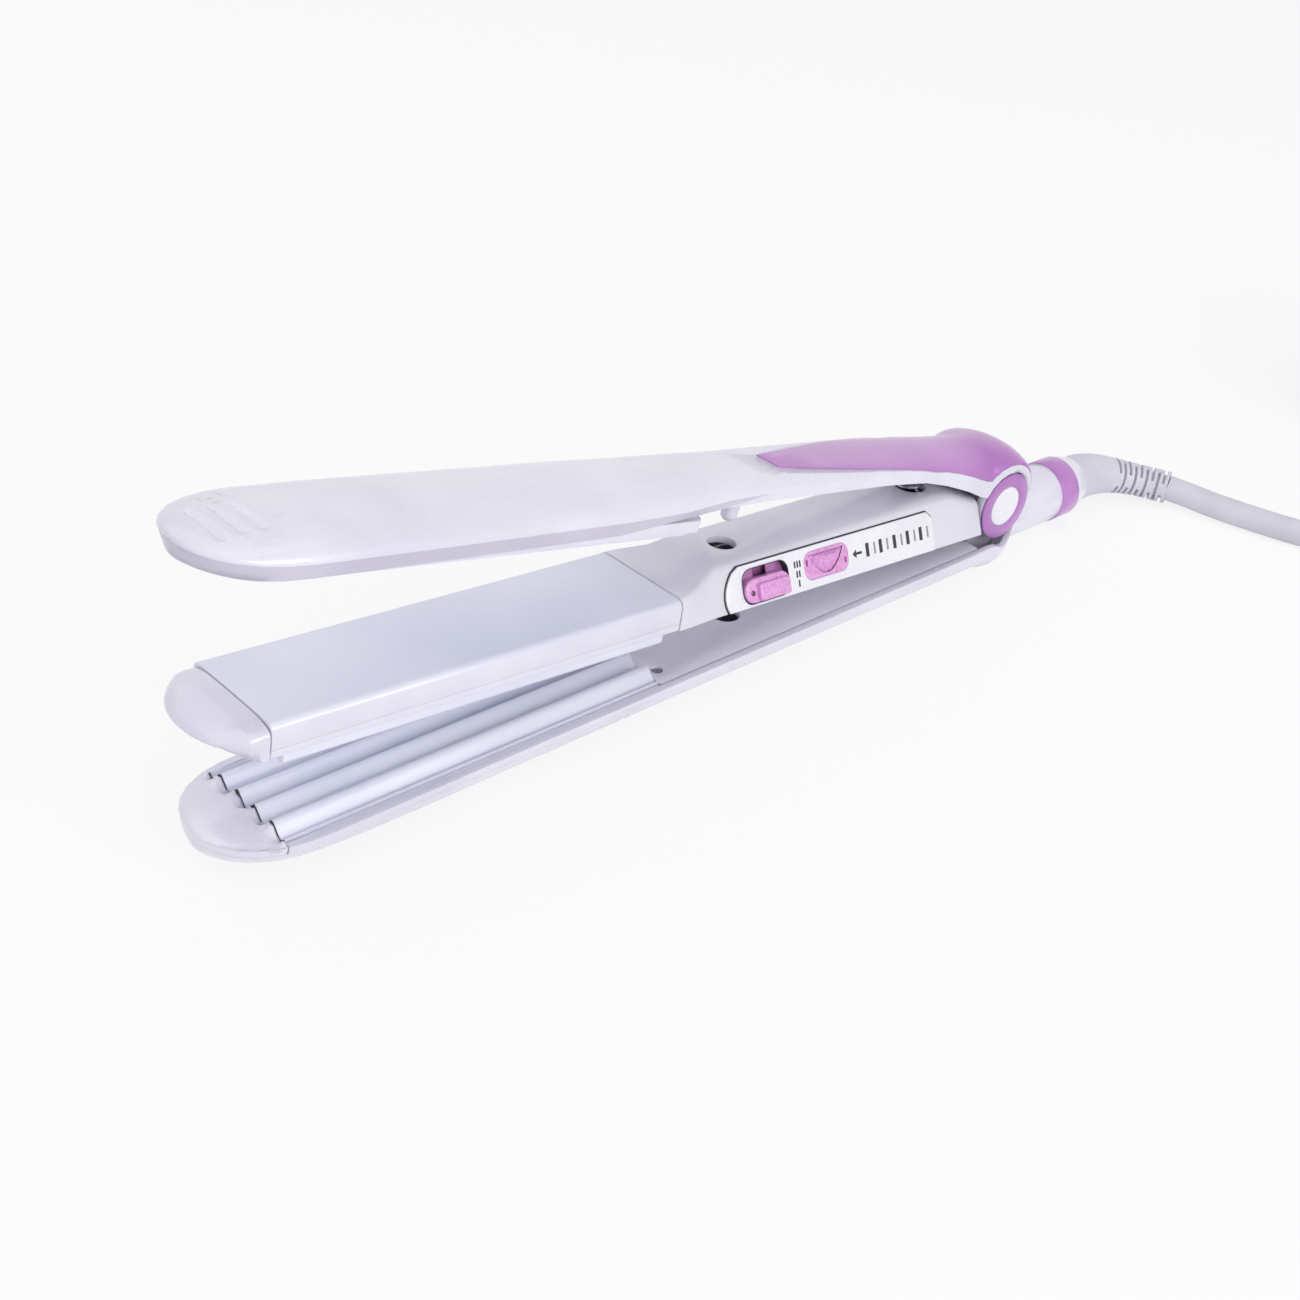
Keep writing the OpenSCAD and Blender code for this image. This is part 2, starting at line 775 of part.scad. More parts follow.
module middle_crimp_plate() {
  top = -3.6 - seat;
  color("#ccd3ea")
    along(plate_back, plate_front)
      polygon(concat(
        [for (v = flute_places) [v, flute(v) + shut_gap]],
        [[crimp_half, top], [-crimp_half, top]]
      ));
}

module middle_tip_cap() {
  start = plate_end + 0.3;
  steps = 26;
  round_places = tip_places(middle_round, middle_len);
  places = concat([start, start + 2.2], [for (s = round_places) if (s > start + 2.4) s]);
  rings = [
    for (s = places)
      let (
        half = (flat_half + 0.2 + 1.1 * ease((s - start) / 4)) * tip_share(s, middle_round, middle_len, 2.2),
        top = flat_top - 0.2 - 3.4 * pow((s - start) / (middle_len - start), 3),
        mid = turn(s, start, middle_len, -1.2, -3.6),
        lift = shut_gap + 0.35 + 0.5 * ease((s - start) / 8),
        low_half = max(lower_half_at(min(s, lower_len - 0.05)), 0.6)
      )
        concat(
          [
            for (j = [0:steps])
              let (v = -0.985 * half * cos(180 * j / steps))
                [s, v, min(fold(min(s, lower_len), v, max(low_half, half)) + lift, mid - 0.6)]
          ],
          [
            for (j = [0:steps])
              let (a = 180 * j / steps)
                [s, half * power(cos(a), 0.5), mid + (top - mid) * power(sin(a), 0.62)]
          ]
        )
  ];
  color("#e9e9f4") loft(backwards(rings));
}

module middle_guide_peg() {
  tip = -9.8;
  color("#d8d8e2")
    translate([middle_peg_s, 0, 0])
      rotate_extrude()
        polygon([
          [0, tip], [peg_r * 0.55, tip], [peg_r * 0.8, tip + 0.6], [peg_r, -handle_drop - 0.3],
          [peg_r, -handle_drop + base_t + 0.4], [0, -handle_drop + base_t + 0.4]
        ]);
}

// ---- Upper arm ----------------------------------------------------------------------

hump_end = 73;
arch_r = ring_r + 0.47;
arc_top = 10.2;

function upper_half_at(s) =
  (s < 130 ? turn(s, 85, 130, upper_back_half, upper_front_half - 0.8)
    : turn(s, 130, upper_round + 2, upper_front_half - 0.8, upper_front_half + 0.2))
  * tip_share(s, upper_round, upper_len, 2.25);
function upper_edge_at(s) =
  s <= 0 ? arch_r
  : s < 8.2 ? sqrt(arch_r * arch_r - s * s)
  : lookup(s, [[8.2, 2.59], [11, 3.1], [17, 4.9], [26, 6.9], [34, 8.1], [45, 8.5], [62, 8.2], [98, 7.2],
      [111, 6.1], [145, 5.4], [upper_round + 8, 4.7], [upper_round + 19, 4.6]]);
function upper_band_at(s) =
  s <= 0 ? arc_top
  : s < 8.2 ? sqrt(arc_top * arc_top - s * s)
  : s < 30 ? lookup(s, [[8.2, 6.07], [10.5, 6.3], [19, 8.2], [26, 9], [30, 9.3]])
  : upper_edge_at(s) + turn(s, 30, 60, 1.45, 1.6);
function upper_crown_at(s) =
  let (
    body = lookup(s, [[0, hump_r], [8, hump_r - 0.35], [17, hump_r - 0.9], [40, upper_crown + 0.8],
      [60, upper_crown + 0.3], [150, upper_crown + 0.1], [upper_round + 8, upper_crown - 0.5],
      [upper_round + 22, upper_crown - 0.6]])
  )
    s < crown_fall ? body
    : upper_band_at(s) + 0.2 + (body - 0.2 - upper_band_at(s)) * tip_share(s, crown_fall, upper_len, 2.1);
function upper_lean_at(s) = 0.1 + 0.5 * ease(s / 20) * (1 - ease((s - 60) / 60));
function upper_bluntness(s) = turn(s, 0, 60, 1.8, 2.25);
function panel_angle(s) =
  lookup(s, [[0, 5], [10.5, 6], [19, 10], [26, 16], [34, 23], [55, 47], [72, 67], [panel_front, 73],
    [panel_front + 25, 30]]);
function under_panel(s) = s < panel_front ? panel_skin : 0;
function ceiling(s) =
  s < 12 ? arch_r
  : s < upper_plate_front - 51 ? turn(s, 12, 40, arch_r, 9.2)
  : s < upper_plate_front + 1 ? turn(s, upper_plate_front - 51, upper_plate_front - 1, 9.2, 7.2)
  : turn(s, upper_plate_front + 3.5, upper_plate_front + 9, 7.2, 4.4);

// A point of the crown, with t from 0 at the near band to 180 at the far one
function crown_point(s, t, drop) =
  let (
    e = 2 / upper_bluntness(s),
    half = upper_half_at(s) - upper_lean_at(s),
    band = upper_band_at(s)
  )
    [s, half * power(cos(t), e), band + (upper_crown_at(s) - band) * power(sin(t), e) - drop];

panel_steps = 12;
function panel_arc(s, drop, margin) =
  let (a = panel_angle(s) + margin)
    [for (i = [0:panel_steps]) crown_point(s, a + (180 - 2 * a) * i / panel_steps, drop)];

// The hollow under the crown, in shares of its half-width and of its height
inner_outline = [[-1, 0], [-0.97, 0.85], [-0.9, 1], [0, 1], [0.9, 1], [0.97, 0.85], [1, 0]];

upper_body_places = concat(
  [0, 2.5, 5, 7, 8.2, 11, 14, 17, 21, 26, 30, 34, 40, 48, 55, 64, 72, panel_front - 0.01, panel_front + 0.01],
  [for (s = [86, 98, 111, 128, 150, 170, crown_fall]) if (s <= crown_fall) s],
  [upper_round]
);
hump_angles = [hump_end, 64, 54, 43, 32, 21, 10];

// A ring drawn over the hinge axis, swung back by an angle about that axis
function swung(ring, a) =
  [for (p = ring) [-p[2] * sin(a), p[1], p[2] * cos(a)]];
function hump_scaled(ring, a) =
  [
    for (p = ring)
      let (k = pow(a / hump_end, 2), n = arch_r + (p[2] - arch_r) * (1 - 0.12 * k))
        [p[0], p[1] * (1 - 0.07 * k), n]
  ];

function upper_ring(s) =
  let (
    a = panel_angle(s),
    half = upper_half_at(s),
    edge = upper_edge_at(s),
    near = [for (i = [0:3]) crown_point(s, a * i / 3, 0)],
    inner_half = max(half - upper_wall, half * 0.6),
    top = max(min(ceiling(s), upper_crown_at(s) - 1.4), edge)
  )
    concat(
      [[s, half, edge]],
      near,
      panel_arc(s, under_panel(s), 1),
      mirrored(near),
      [[s, -half, edge]],
      [for (p = inner_outline) [s, inner_half * p[0], edge + (top - edge) * p[1]]]
    );

module upper_shell() {
  rings = concat(
    [for (a = hump_angles) swung(hump_scaled(upper_ring(0), a), a)],
    [for (s = upper_body_places) upper_ring(s)],
    [for (s = tip_places(upper_round, upper_len)) upper_ring(s)]
  );
  // The ends are closed by a fan from the middle of the crown
  color("#ececf6") loft(backwards(rings), 5 + panel_steps / 2);
}

// The coloured panel lies in the shell's recess and stands slightly proud of it
module upper_panel() {
  function panel_ring(s) =
    concat(panel_arc(s, -0.12, 1.4), backwards(panel_arc(s, panel_skin - 3 * seat, 1.4)));
  places = [for (s = upper_body_places) if (s < panel_front - 1) s];
  rings = concat(
    [for (a = hump_angles) swung(hump_scaled(panel_ring(0), a), a)],
    [for (s = places) panel_ring(s)],
    [panel_ring(panel_front - 0.3)]
  );
  color("#bf8fd4") loft(backwards(rings));
}

liner_bottom = 7.5;
liner_top = arch_r - 0.15;
liner_screws = [38, 97];
liner_back = 12.5;
liner_front = handle_front - 2.2;

// Where the upper spring meets the upper arm when the arms are open
upper_spring_s = spring_s + 1.2;

module upper_liner() {
  places = [liner_back, 20, 30, 85, 90, 95, 100, liner_front];
  inner = [for (s = places) [s, upper_half_at(s) - upper_wall - turn(s, 20, 30, 0.95, 0.45)]];
  edge = [for (i = [len(inner) - 1:-1:0]) [inner[i][0], -inner[i][1]]];
  color("#dcdce8")
    difference() {
      upright(liner_bottom, liner_top) polygon(concat(inner, edge));
      translate([upper_peg_s, 0, liner_bottom - over]) cylinder(r = peg_r + 0.3 + seat, h = 4);
      translate([upper_spring_s, 0, liner_bottom - over]) cylinder(r = spring_r + 1.6, h = 4);
      for (s = liner_screws) {
        translate([s, 0, liner_bottom - over]) cylinder(r = 2.2, h = over + 0.6);
        translate([s, 0, liner_bottom - over]) cylinder(r = 1, h = 4);
      }
    }
}

upper_frame_low = 2.9;
upper_frame_step = 5.3;
upper_frame_top = 6.9;
upper_plate_back = plate_back - 2.5;
upper_frame_half = upper_front_half - 2.5;
upper_plate_half = upper_frame_half - 0.8;
upper_plate_low = flat_top + shut_gap;

module upper_plate_frame() {
  color("#e2e2ee")
    difference() {
      union() {
        upright(upper_frame_low, upper_frame_step)
          rounded_plan(liner_front + 0.4, upper_plate_front + 3, upper_frame_half, 2.5);
        upright(upper_frame_step, upper_frame_top)
          rounded_plan(liner_front + 0.4, upper_plate_front + 1.5, upper_frame_half - 1.7, 2);
      }
      upright(upper_frame_low - over, upper_frame_low + 1.3)
        rounded_plan(upper_plate_back - 0.1, upper_plate_front + 0.1, upper_plate_half + 0.1, 1);
      translate([heater_back - 0.5, -heater_half - 0.3, upper_frame_low])
        cube([upper_heater_front - heater_back + 1, 2 * heater_half + 0.6, 1.3 + heater_t]);
    }
}

module upper_flat_plate() {
  color("#cdd3ea")
    upright(upper_plate_low, upper_frame_low + 1.2)
      rounded_plan(upper_plate_back, upper_plate_front, upper_plate_half, 0.9);
}

module upper_heater() {
  color("#f2efe6")
    translate([heater_back, -heater_half, upper_frame_low + 1.2 + seat])
      cube([upper_heater_front - heater_back, 2 * heater_half, heater_t - 0.1]);
}

module upper_guide_peg() {
  tip = -1.2;
  color("#d8d8e2")
    translate([upper_peg_s, 0, 0])
      rotate_extrude()
        polygon([
          [0, tip], [peg_r * 0.5, tip], [peg_r * 0.85, tip + 0.8], [peg_r, 4], [peg_r + 0.3, liner_bottom],
          [peg_r + 0.3, liner_top], [0, liner_top]
        ]);
}

module upper_screws() {
  color("#8f9096")
    for (s = liner_screws) {
      translate([s, 0, liner_bottom + 0.1]) cylinder(r = 2.1, h = 0.5);
      translate([s, 0, liner_bottom + 0.5]) cylinder(r = 0.9, h = liner_top - liner_bottom - 0.5);
    }
}

// ---- Springs ------------------------------------------------------------------------

// A coil spring as a skin swept along a helix, with its ends at two heights
module coil_spring(low, high, wire) {
  turns = 5;
  steps = 10;
  r = spring_r - wire / 2;
  rings = [
    for (k = [0:turns * steps])
      let (a = 360 * k / steps, n = low + wire / 2 + (high - low - wire) * k / (turns * steps))
        [
          for (b = [0:60:300])
            let (q = r + wire / 2 * cos(b)) [q * cos(a), q * sin(a), n + wire / 2 * sin(b)]
        ]
  ];
  loft(rings);
}

spring_wire = 0.9;

module middle_spring() {
  floor = lower_wall + 0.2;
  top = hinge_height + (spring_s * sin(middle_open)) - handle_drop * cos(middle_open) - 0.35;
  color("#9a9ca4") translate([-spring_s, 0, 0]) coil_spring(floor, top, spring_wire);
}

module upper_spring() {
  low = base_top + seat;
  top = (ceiling(upper_spring_s) + spring_s * sin(upper_open)) / cos(upper_open) - 0.35;
  color("#9a9ca4") translate([spring_s, 0, 0]) coil_spring(low, top, spring_wire);
}

// ---- Cord ---------------------------------------------------------------------------

cord_r = cord_d / 2;
neck_z = neck_n + hinge_height;
// The strain relief leaves the collar straight and bends down to the rest face and aside
relief_bend = 24;
relief_turn = 66;
relief_straight = 44;
relief_low = 4.9;
relief_route = concat(
  [[collar_s1, 0, neck_z]],
  [
    for (a = [0:11:relief_turn])
      [
        relief_straight + relief_bend * sin(a),
        relief_bend * (cos(a) - 1),
        neck_z + (relief_low - neck_z) * ease(a / relief_turn)
      ]
  ]
);
relief_radii = [for (i = [0:len(relief_route) - 1]) 5.9 - 1.8 * ease(i / 5)];
// Route of the cord from the strain relief to the coil, and over the coil to the plug on it
lead_route = [
  [65.9, -14.2, 4.9], [68, -19, 4.3], [70.4, -26, 3.6], [73.2, -35, 3.3], [76.2, -45, 3.3], [79, -51.5, 3.3],
  [83.4, -57.3, 3.3], [89.2, -61.8, 3.3], [96, -64.5, 3.3], [103, -65.6, 3.3], [112, -66.4, 3.3],
  [126, -67.5, 3.3], [140, -68.3, 3.4], [154, -68.8, 3.6], [168, -69.1, 3.8], [182, -69.2, 4]
];
tail_route = [
  [151.5, -16.4, 23.2], [148, -24.9, 24.2], [146.8, -34, 26.4], [148, -43.1, 28.6], [151.5, -51.6, 29.6],
  [157.1, -58.9, 29.6], [164.4, -64.5, 29.6], [172.9, -68, 29.6], [182, -69.2, 29.6], [189, -68.3, 29.9],
  [195.5, -65.6, 30.6], [201.1, -61.3, 31.5], [205.4, -55.7, 32.3], [208.1, -49.2, 33], [209, -42.2, 33.3]
];
coil_centre = [182, -34];
coil_mid_r = 32;
coil_low = 0.8;
coil_high = coil_low + coil_layers * cord_d;

// A ring of points around p, square to the direction d
function around(p, d, r, count) =
  let (
    h = sqrt(d[0] * d[0] + d[1] * d[1]),
    side = [-d[1] / h, d[0] / h, 0],
    up = cross(d / norm(d), side)
  )
    [for (i = [0:count - 1]) p + r * (cos(360 * i / count) * side + sin(360 * i / count) * up)];
function heading(route, i) =
  i == 0 ? route[1] - route[0] : i == len(route) - 1 ? route[i] - route[i - 1] : route[i + 1] - route[i - 1];

module swept(route, radii, count) {
  rings = [for (i = [0:len(route) - 1]) around(route[i], heading(route, i), radii[i], count)];
  loft(backwards(rings));
}

module strain_relief() {
  color("#dcdce6") swept(relief_route, relief_radii, 20);
}

module cord_lead() {
  color("#e4e4ec") swept(lead_route, [for (p = lead_route) cord_r], 10);
}

module cord_tail() {
  color("#e4e4ec") swept(tail_route, [for (p = tail_route) cord_r], 10);
}

module cord_coil() {
  inner = coil_mid_r - coil_turns * cord_d / 2;
  outer = coil_mid_r + coil_turns * cord_d / 2;
  high = coil_high - coil_low;
  cut = cord_r * 0.6;
  color("#e4e4ec")
    translate([coil_centre[0], coil_centre[1], coil_low])
      rotate_extrude()
        polygon([
          [inner, cut], [inner + cut, 0], [outer - cut, 0], [outer, cut],
          [outer, high - cut], [outer - cut, high], [inner + cut, high], [inner, high - cut]
        ]);
}

// A strap around the coil
module cord_tie() {
  strap = [14, 0.6];
  inner = [coil_turns * cord_d + 2.2, coil_layers * cord_d + 0.2];
  tie_angle = 120;
  color("#55555e")
    translate([coil_centre[0], coil_centre[1], coil_low - 0.1])
      rotate([0, 0, tie_angle])
        translate([coil_mid_r, strap[0] / 2, 0])
          rotate([90, 0, 0])
            linear_extrude(strap[0])
              difference() {
                translate([-inner[0] / 2 - strap[1], -strap[1]])
                  square([inner[0] + 2 * strap[1], inner[1] + 2 * strap[1]]);
                translate([-inner[0] / 2, 0]) square(inner);
              }
}

// A flat two-pin plug that lies on the coil, with its gland at the end of the cord
plug_len = 35;
plug_high = 13.6;
plug_half = 13;
plug_gland = 8;
plug_pin = [2, 19, 18.4];
plug_mid = coil_high + 0.1 + plug_high / 2;

module plug_frame() {
  end = tail_route[len(tail_route) - 1];
  translate([end[0], end[1], plug_mid]) rotate([0, 0, 90]) children();
}

module plug_body() {
  neck = 6.5;
  shoulder = 20;
  color("#e4e4ec")
    plug_frame() {
      rotate([0, 90, 0]) cylinder(r = cord_r + 0.9, h = plug_gland + over);
      upright(-plug_high / 2, plug_high / 2)
        polygon([
          [plug_gland, -neck], [shoulder, -plug_half], [plug_len, -plug_half],
          [plug_len, plug_half], [shoulder, plug_half], [plug_gland, neck]
        ]);
    }
}

module plug_pins() {
  color("#c9a545")
    plug_frame()
      for (side = [-1, 1])
        translate([plug_len, side * plug_pin[2] / 2, 0])
          rotate([0, 90, 0]) cylinder(r = plug_pin[0], h = plug_pin[1]);
}

// ---- Output -------------------------------------------------------------------------

arm(0) lower_shell();
arm(0) lower_cover();
arm(0) lower_tip_cap();
arm(0) lower_crimp_plate();
arm(0) lower_plate_tray();
arm(0) lower_heater();
arm(0) lower_screws();
arm(0) hinge_bracket();
arm(0) hinge_pin();
neck_ring();
rear_collar();
strain_relief();
middle_spring();
arm(middle_open) middle_shell();
arm(middle_open) middle_base();
arm(middle_open) middle_hinge_block();
arm(middle_open) control_panel();
arm(middle_open) switch_body();
arm(middle_open) power_switch();
arm(middle_open) indicator_lens();
arm(middle_open) temperature_wheel();
arm(middle_open) thermostat_body();
arm(middle_open) circuit_board();
arm(middle_open) middle_flat_plate();
arm(middle_open) middle_plate_frame();
arm(middle_open) middle_heater();
arm(middle_open) middle_crimp_plate();
arm(middle_open) middle_tip_cap();
arm(middle_open) middle_guide_peg();
arm(middle_open) upper_spring();
arm(upper_angle) upper_shell();
arm(upper_angle) upper_panel();
arm(upper_angle) upper_liner();
arm(upper_angle) upper_plate_frame();
arm(upper_angle) upper_flat_plate();
arm(upper_angle) upper_heater();
arm(upper_angle) upper_guide_peg();
arm(upper_angle) upper_hinge_cheeks();
arm(upper_angle) hinge_rings();
arm(upper_angle) hinge_caps();
arm(upper_angle) upper_screws();
cord_lead();
cord_coil();
cord_tail();
cord_tie();
plug_body();
plug_pins();
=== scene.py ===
import json
import math

import bmesh
import bpy
from mathutils import Matrix, Vector


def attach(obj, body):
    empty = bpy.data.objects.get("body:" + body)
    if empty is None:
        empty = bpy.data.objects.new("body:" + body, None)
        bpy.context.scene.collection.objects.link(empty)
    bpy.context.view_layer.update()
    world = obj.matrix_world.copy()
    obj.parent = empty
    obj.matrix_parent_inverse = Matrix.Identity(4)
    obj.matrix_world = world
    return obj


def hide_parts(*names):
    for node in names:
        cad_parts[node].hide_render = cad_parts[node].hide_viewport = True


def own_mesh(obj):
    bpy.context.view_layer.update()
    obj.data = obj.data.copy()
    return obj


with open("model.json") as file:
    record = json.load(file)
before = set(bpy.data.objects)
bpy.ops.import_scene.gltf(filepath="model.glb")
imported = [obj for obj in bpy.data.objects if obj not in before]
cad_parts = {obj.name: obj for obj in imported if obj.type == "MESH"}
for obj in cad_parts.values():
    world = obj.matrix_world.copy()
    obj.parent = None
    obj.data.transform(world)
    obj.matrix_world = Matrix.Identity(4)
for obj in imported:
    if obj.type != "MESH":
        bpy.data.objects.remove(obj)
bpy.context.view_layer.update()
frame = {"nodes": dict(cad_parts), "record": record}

# A three-arm hair iron: finishes, rounded edges, printed scale, ribbed strain relief, cord and plug.
# Blender works in metres. Most places here are written in millimetres, and mm() turns them.
record = frame["record"]
scene = bpy.context.scene
scene.view_settings.view_transform = "Standard"


def mm(*values):
    return Vector(values) / 1000


# ---- Camera, light and floor -------------------------------------------------

CAMERA_TARGET = mm(-101.66, 0, 8.17)
CAMERA_AZIMUTH = math.radians(-134.92)
CAMERA_ELEVATION = math.radians(31.97)
CAMERA_DISTANCE = 0.396
CAMERA_ROLL = math.radians(5.54)
LENS_MM = 52.6
SENSOR_MM = 36
LAMP_AIM = mm(-100, 0, 20)
# Name, place, size in metres, watts and colour
SOFTBOXES = [
    ("side_softbox", mm(-60, -900, 420), (0.9, 0.5), 4.2, (1, 0.98, 0.96)),
    ("top_softbox", mm(-300, 250, 900), (1.4, 1.4), 3.2, (0.98, 0.98, 1)),
    ("tip_softbox", mm(-900, -150, 300), (0.5, 0.5), 0.35, (0.98, 0.97, 1)),
]
WHITE = (1, 1, 1, 1)
ROOM_COLOUR = (0.96, 0.95, 1.0, 1)
ROOM_STRENGTH = 0.56
TABLE_COLOUR = (0.92, 0.92, 0.94, 1)
# How much of the table is plain white where it is seen; the rest is lit, and holds the shadow
TABLE_GLOW = 0.82


def make_camera():
    level = math.cos(CAMERA_ELEVATION)
    away = Vector((
        level * math.cos(CAMERA_AZIMUTH),
        level * math.sin(CAMERA_AZIMUTH),
        math.sin(CAMERA_ELEVATION),
    ))
    right = Vector((0, 0, 1)).cross(away).normalized()
    up = away.cross(right)
    tilted_right = right * math.cos(CAMERA_ROLL) + up * math.sin(CAMERA_ROLL)
    tilted_up = up * math.cos(CAMERA_ROLL) - right * math.sin(CAMERA_ROLL)
    data = bpy.data.cameras.new("camera")
    data.lens = LENS_MM
    data.sensor_width = SENSOR_MM
    data.clip_start = 0.01
    camera = bpy.data.objects.new("camera", data)
    camera.matrix_world = Matrix((tilted_right, tilted_up, away)).transposed().to_4x4()
    camera.location = CAMERA_TARGET + away * CAMERA_DISTANCE
    scene.collection.objects.link(camera)
    scene.camera = camera


def add_softbox(name, place, size, watts, colour):
    data = bpy.data.lights.new(name, "AREA")
    data.shape = "RECTANGLE"
    data.size = size[0]
    data.size_y = size[1]
    data.energy = watts
    data.color = colour
    lamp = bpy.data.objects.new(name, data)
    lamp.location = place
    lamp.rotation_euler = (LAMP_AIM - place).to_track_quat("-Z", "Y").to_euler()
    scene.collection.objects.link(lamp)


def seen_directly(nodes, links):
    """A socket that is 1 for camera, glossy and transmission rays, and 0 for those that carry light."""
    path = nodes.new("ShaderNodeLightPath")
    glossy = nodes.new("ShaderNodeMath")
    glossy.operation = "MAXIMUM"
    links.new(path.outputs["Is Camera Ray"], glossy.inputs[0])
    links.new(path.outputs["Is Glossy Ray"], glossy.inputs[1])
    clear = nodes.new("ShaderNodeMath")
    clear.operation = "MAXIMUM"
    links.new(glossy.outputs[0], clear.inputs[0])
    links.new(path.outputs["Is Transmission Ray"], clear.inputs[1])
    return clear.outputs[0]


def make_world():
    world = bpy.data.worlds.new("studio")
    world.use_nodes = True
    nodes, links = world.node_tree.nodes, world.node_tree.links
    nodes.clear()
    room = nodes.new("ShaderNodeBackground")
    room.inputs["Color"].default_value = ROOM_COLOUR
    room.inputs["Strength"].default_value = ROOM_STRENGTH
    backdrop = nodes.new("ShaderNodeBackground")
    backdrop.inputs["Color"].default_value = WHITE
    backdrop.inputs["Strength"].default_value = 1
    mix = nodes.new("ShaderNodeMixShader")
    output = nodes.new("ShaderNodeOutputWorld")
    links.new(seen_directly(nodes, links), mix.inputs["Fac"])
    links.new(room.outputs[0], mix.inputs[1])
    links.new(backdrop.outputs[0], mix.inputs[2])
    links.new(mix.outputs[0], output.inputs["Surface"])
    scene.world = world


def make_floor():
    material = bpy.data.materials.new("white_table")
    material.use_nodes = True
    nodes, links = material.node_tree.nodes, material.node_tree.links
    nodes.clear()
    matt = nodes.new("ShaderNodeBsdfDiffuse")
    matt.inputs["Color"].default_value = TABLE_COLOUR
    glow = nodes.new("ShaderNodeEmission")
    glow.inputs["Color"].default_value = WHITE
    glow.inputs["Strength"].default_value = 1
    share = nodes.new("ShaderNodeMath")
    share.operation = "MULTIPLY"
    share.inputs[1].default_value = TABLE_GLOW
    mix = nodes.new("ShaderNodeMixShader")
    output = nodes.new("ShaderNodeOutputMaterial")
    links.new(seen_directly(nodes, links), share.inputs[0])
    links.new(share.outputs[0], mix.inputs["Fac"])
    links.new(matt.outputs[0], mix.inputs[1])
    links.new(glow.outputs[0], mix.inputs[2])
    links.new(mix.outputs[0], output.inputs["Surface"])
    bm = bmesh.new()
    bmesh.ops.create_grid(bm, x_segments=1, y_segments=1, size=4)
    mesh = bpy.data.meshes.new("table_top")
    bm.to_mesh(mesh)
    bm.free()
    mesh.materials.append(material)
    table = bpy.data.objects.new("table_top", mesh)
    scene.collection.objects.link(table)


make_camera()
make_world()
make_floor()
for softbox in SOFTBOXES:
    add_softbox(*softbox)

# ---- Cord --------------------------------------------------------------------

CORD_DIAMETER = 0.0064
# Places on the cord's middle line in millimetres: out of the relief, to the coil, and on to the plug
CORD_EXIT = (65.9, -14.2, 4.9)
PLUG_PLACE = (209, -42.2, 33.3)
LEAD_ROUTE = [
    CORD_EXIT, (68, -19, 4.3), (70.4, -26, 3.6), (73.2, -35, 3.3), (76.2, -45, 3.3), (79, -51.5, 3.3),
    (83.4, -57.3, 3.3), (89.2, -61.8, 3.3), (96, -64.5, 3.3), (103, -65.6, 3.3), (112, -66.4, 3.3),
    (126, -67.5, 3.3), (140, -68.3, 3.4), (154, -68.8, 3.6), (168, -69.1, 3.8),
]
TAIL_ROUTE = [
    (189, -68.3, 29.9), (195.5, -65.6, 30.6), (201.1, -61.3, 31.5), (205.4, -55.7, 32.3),
    (208.1, -49.2, 33), PLUG_PLACE,
]
COIL_CENTRE = (182, -34)
# Radius and height of the first turn's middle line, and the distance between two turns
COIL_OUTER = 35.2
COIL_BOTTOM = 4.0
COIL_PITCH = 6.4
COIL_TURNS = 7
COIL_LAYERS = 4
POINTS_PER_TURN = 24
# Degrees: where the winding starts, what one layer takes, and what a step sideways or up takes
COIL_START = 270
LAYER_STEP = 600
CROSSING = 60


def ease(t):
    """0 up to t = 0, 1 from t = 1, and a smooth step between them."""
    t = min(max(t, 0), 1)
    return t * t * (3 - 2 * t)


def coil_point(wound):
    """A place in the coil. Half-way through a layer the cord steps in or out, and at its end it climbs."""
    radius = COIL_OUTER
    height = COIL_BOTTOM
    for layer in range(COIL_LAYERS):
        inwards = -1 if layer % 2 == 0 else 1
        sideways = wound - LAYER_STEP / 2 - layer * LAYER_STEP
        upwards = wound - (layer + 1) * LAYER_STEP
        radius += inwards * COIL_PITCH * ease(sideways / CROSSING)
        height += COIL_PITCH * ease(upwards / CROSSING)
    angle = math.radians(COIL_START + wound)
    return (COIL_CENTRE[0] + radius * math.cos(angle), COIL_CENTRE[1] + radius * math.sin(angle), height)


def cord_route():
    points = COIL_TURNS * POINTS_PER_TURN
    coil = [coil_point(360 * i / POINTS_PER_TURN) for i in range(points + 1)]
    return [mm(*p) for p in LEAD_ROUTE + coil + TAIL_ROUTE]


def route_length(points):
    return sum((b - a).length for a, b in zip(points, points[1:]))


def make_cord():
    route = cord_route()
    curve = bpy.data.curves.new("mains_cord", "CURVE")
    curve.dimensions = "3D"
    curve.bevel_depth = CORD_DIAMETER / 2
    curve.bevel_resolution = 4
    curve.resolution_u = 3
    curve.use_fill_caps = True
    spline = curve.splines.new("BEZIER")
    spline.bezier_points.add(len(route) - 1)
    for point, place in zip(spline.bezier_points, route):
        point.co = place
        point.handle_left_type = "AUTO"
        point.handle_right_type = "AUTO"
    cord = bpy.data.objects.new("mains_cord", curve)
    scene.collection.objects.link(cord)
    return cord, route_length(route)


cord, cord_length = make_cord()

# ---- Materials ---------------------------------------------------------------

# Most of a pattern's values lie between these
PATTERN_LOW = 0.3
PATTERN_HIGH = 0.7


def linear(hex_colour):
    """A colour written as rrggbb, in the values that a shader's socket takes."""
    channels = [int(hex_colour[i:i + 2], 16) / 255 for i in (0, 2, 4)]
    return tuple(c / 12.92 if c <= 0.04045 else ((c + 0.055) / 1.055) ** 2.4 for c in channels) + (1,)


